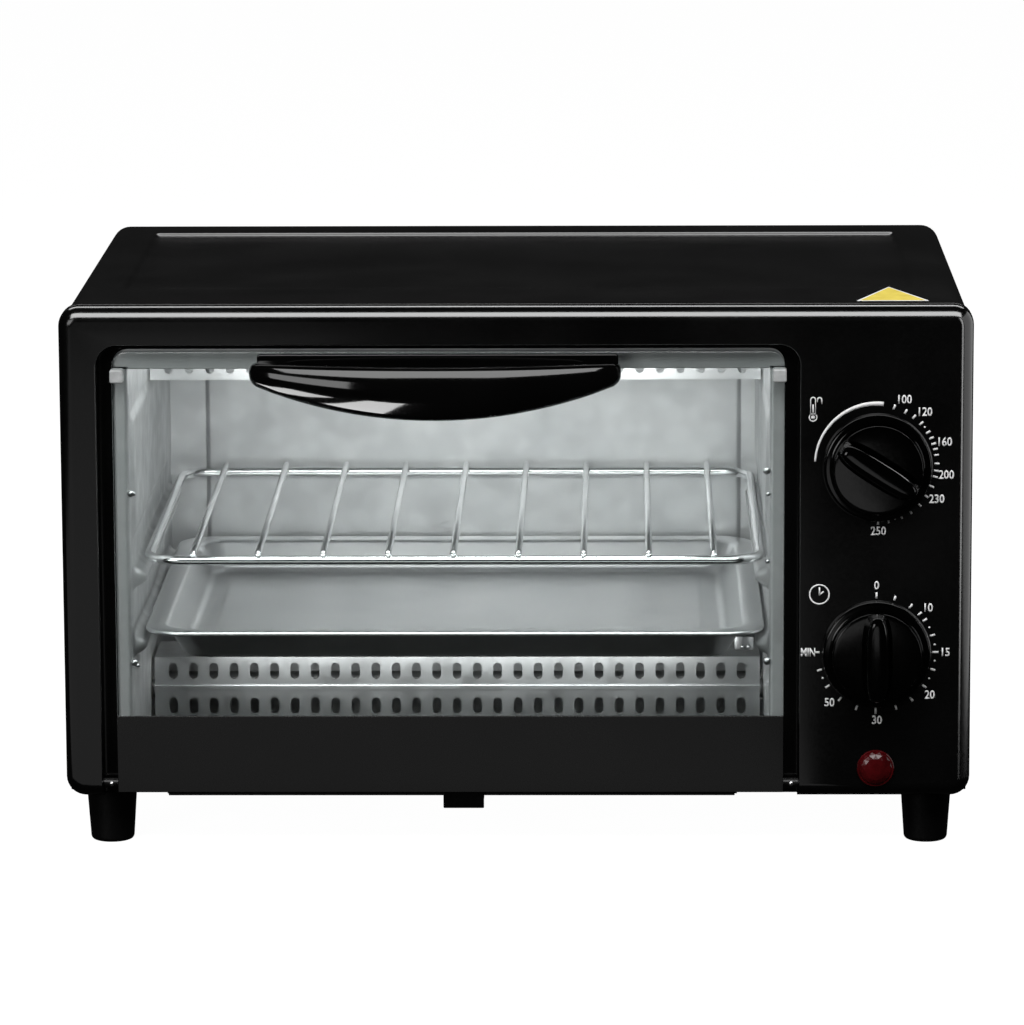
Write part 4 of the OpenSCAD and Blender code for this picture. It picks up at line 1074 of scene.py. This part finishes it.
def makeBack():
    y = backHigh.y - 0.7
    px = (backLow.x + 15.5, backHigh.x - 7)
    pz = (backLow.z + 19.2, backHigh.z - 6)
    def stops(low, a, b, high):
        values = finer([low, a - 0.2, a + 2.4, b - 2.4, b + 0.2, high], 6)
        return sorted(set(values) | set(finer([a - 0.2, a + 2.4], 0.4)) | set(finer([b - 2.4, b + 0.2], 0.4)))

    def point(u, v):
        raised = hump(u, px[0], px[1], cavity["pressSlope"]) * hump(v, pz[0], pz[1], cavity["pressSlope"])
        wave = 0.25 * math.sin(u * 0.05 + 1) * math.sin(v * 0.07) * raised
        return u, y - cavity["press"] * raised + wave, v

    us, vs = stops(backLow.x, *px, backHigh.x), stops(backLow.z, *pz, backHigh.z)
    piece = makePiece("cavityBack", gridShape(us, vs, point), "backSteel", "chassis",
        ("cavity_back",), 60)
    thicken(piece, cavity["sheet"] - 0.05, -1)


# x, z and radius of the rivet heads on the flanges
rivets = ((-155.0, 146, 1.5), (-153.8, 145.8, 0.8), (-154.6, 76.6, 1.5), (-153.3, 75.4, 0.8),
          (100.4, 155, 1.6), (101.0, 145.5, 1.0), (100.8, 77, 1.6), (100.9, 118, 0.9))


def makeNubs():
    parts = [bead((x, 10.2, z), r, 0.7) for x, z, r in rivets]
    parts += [bead((93.0 + 2.6 * k, 101.9, 63.5), 0.9, 0.8) for k in range(2)]
    parts.append(plate(roundRect(89.5, 62.0, 97.5, 68.0, 0.8, 3), [], 101.9, 103.2, 0.3, 0.0, 2))
    parts.append(plate(roundRect(80.5, 68.5, 88.5, 73.0, 0.8, 3), [], 104.0, 104.8, 0.3, 0.0, 2))
    makePiece("cavityRivets", together(parts), "screwSteel", "chassis", crease=50)


makeSideWall("cavityWall.left", "cavity_left_wall", backLow.x, 1)
makeSideWall("cavityWall.right", "cavity_right_wall", backHigh.x, -1)
makeBack()
makeNubs()
eased("cavityRoof", "cavity_roof", 0.5, "cavitySteel")
eased("guard.lower", "lower_guard", 0.22, "guardSteel")
eased("guard.upper", "upper_guard", 0.22, "guardSteel")
print("cavity made")

# Rack and tray

rack = {"rod": 2.0, "wire": 1.4, "bend": 14, "wires": 9, "pitch": 26.3}


def makeRack():
    r, bend = rack["rod"], rack["bend"]
    x0, x1, y0, y1 = rackLow.x + r, rackHigh.x - r, rackLow.y + r, rackHigh.y - r
    z = rackLow.z + r
    loop = [(x, y, z) for x, y in roundRect(x0, y0, x1, y1, bend, 10)]
    parts = [tube(loop, r, 14, closed=True)]
    cx = (x0 + x1) / 2
    zWire = z + r + rack["wire"] - 0.4
    for i in range(rack["wires"]):
        x = cx + (i - (rack["wires"] - 1) / 2) * rack["pitch"]
        w = rack["wire"]
        ends = ((-0.9, -0.5), (-0.5, -0.15), (0.6, 0))
        path = [(x, y0 + d, zWire + e) for d, e in ends] + [(x, y1 - d, zWire + e) for d, e in ends[::-1]]
        parts.append(tube(path, [w * 0.72, w * 0.97, w, w, w * 0.97, w * 0.72], 12))
        for y in (y0, y1):  # the squeezed weld
            weld = ((-1.7, 1.5), (-0.9, 1.75), (0, 1.85), (0.9, 1.75), (1.7, 1.5))
            parts.append(tube([(x + d, y, z + e) for d, e in weld], [0.25, 0.7, 0.9, 0.7, 0.25], 8))
    makePiece("wireRack", together(parts), "chromeWire", "rack", ("wire_rack",), 50)


tray = {"rim": 9, "lean": 6, "corner": 16, "sheet": 0.8, "roll": 1.15, "rimFillet": 1.6, "floorFillet": 4.0}


def makeTray():
    x0, y0, x1, y1 = trayLow.x, trayLow.y, trayHigh.x, trayHigh.y
    top, floor = trayHigh.z, trayLow.z + tray["sheet"]
    t = tray["sheet"]
    wallTop, wallFoot = tray["rim"], tray["rim"] + tray["lean"]
    inner = []  # (inset, height) from the rolled edge to the floor
    roll = tray["roll"]
    inner += [(roll - roll * math.sin(a), top - roll - roll * math.cos(a)) for a in bendSteps(6, math.pi)]
    inner += [(wallTop - 4.5, top - 0.05), (wallTop - 3.2, top - 0.15),
        (wallTop - tray["rimFillet"], top - 0.3)]
    inner += [(wallTop - 0.6, top - 0.75), (wallTop + 0.1, top - 1.6), (wallTop + 0.6, top - 2.8)]
    f = tray["floorFillet"]
    inner += [(wallFoot - 1.9, floor + f + 0.6)]
    inner += [(wallFoot - 1.2 + f * (1 - math.cos(a)), floor + f - f * math.sin(a)) for a in bendSteps(6)[1:]]
    inner += [(wallFoot + 8, floor), (wallFoot + 9, floor + 0.35), (wallFoot + 11, floor + 0.4),
        (wallFoot + 30, floor + 0.4)]
    under = [(d - 0.25 if d > 2 else d + 0.35, z - t) for d, z in inner[7:]][::-1]

    def ring(d, z):
        r = max(1.5, tray["corner"] - d * 0.4)
        return [(x, y, z) for x, y in roundRect(x0 + d, y0 + d, x1 - d, y1 - d, r, 9)]

    shape = loft([ring(d, z) for d, z in under + inner])
    evenNormals(makePiece("bakingTray", shape, "trayMetal", "tray", ("baking_tray",), 50))


makeRack()
makeTray()
eased("crumbTray", "crumb_tray", 0.2, "rearPaint")
eased("crumbPull", "crumb_tray_pull", 0.45, "footPlastic", steps=3)
print("rack and trays made")

# Springs and small parts

# CAD nodes that stay as they are, with their finishes
kept = {
    "base_plate": "rearPaint", "foot_screws": "screwSteel", "lower_element_front": "heaterSheath",
    "lower_element_rear": "heaterSheath", "upper_element_front": "heaterSheath",
    "upper_element_rear": "heaterSheath", "element_bushes": "ceramicWhite", "control_bracket": "galvanised",
    "control_screws": "screwSteel", "thermostat_body": "casePlastic", "timer_body": "galvanised",
    "timer_bell": "chromeWire", "neon_lamp": "lampGlass", "terminal_block": "ceramicWhite",
    "internal_wiring": "wireSleeve", "rear_screws": "screwSteel", "hinge_arm_left": "galvanised",
    "hinge_arm_right": "galvanised", "hinge_pin_left": "footPlastic", "hinge_pin_right": "footPlastic",
    "handle_screws": "screwSteel", "handle_washers": "washerFibre", "thermostat_shaft": "screwSteel",
    "timer_shaft": "screwSteel",
}


spring = {"radius": 2.5, "wire": 0.45, "turns": 34}


def makeSpring(side):
    name = "door_spring_" + side
    low, high = span(name)
    cx, cz = (low.x + high.x) / 2, (low.z + high.z) / 2
    start, end = low.y + 7, high.y - 7
    steps = 12
    count = spring["turns"] * steps
    path = [(cx, low.y, cz), (cx, low.y + 2, cz), (cx, low.y + 5.5, cz), (cx + 0.8, low.y + 6.4, cz)]
    for k in range(count + 1):
        a = 2 * math.pi * k / steps
        path.append((cx + spring["radius"] * math.cos(a), start + (end - start) * k / count,
            cz + spring["radius"] * math.sin(a)))
    path += [(cx + 0.8, high.y - 6.4, cz), (cx, high.y - 5.5, cz), (cx, high.y - 2, cz), (cx, high.y, cz)]
    piece = makePiece("doorSpring." + side, tube(path, spring["wire"], 6), "springSteel", None,
        (name,), 60)
    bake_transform(piece)


def makeLabel():
    low, high = span("blank_label")
    cx = (low.x + high.x) / 2
    outer = [(low.x, low.y + 6), (high.x, low.y + 6), (cx, high.y + 13)]
    inner = offsetLoop(outer, 1.1)
    flat = lambda u, w, v: (u, v, w)
    border = plate(outer, [], low.z, low.z + 0.08, 0, 0, 1, flat)
    field = plate(inner, [], low.z + 0.07, high.z, 0, 0, 1, flat)
    makePiece("labelBorder", border, "printWhite", "chassis", ("blank_label",))
    makePiece("labelField", field, "labelYellow", "chassis")


for side in ("left", "right"):
    makeSpring(side)
makeLabel()
for nodeName, finishName in kept.items():
    node = frame["nodes"][nodeName]
    for item in node.material_slots:
        item.link = "OBJECT"
        item.material = finishes[finishName]
print("small parts made")

aimCards()
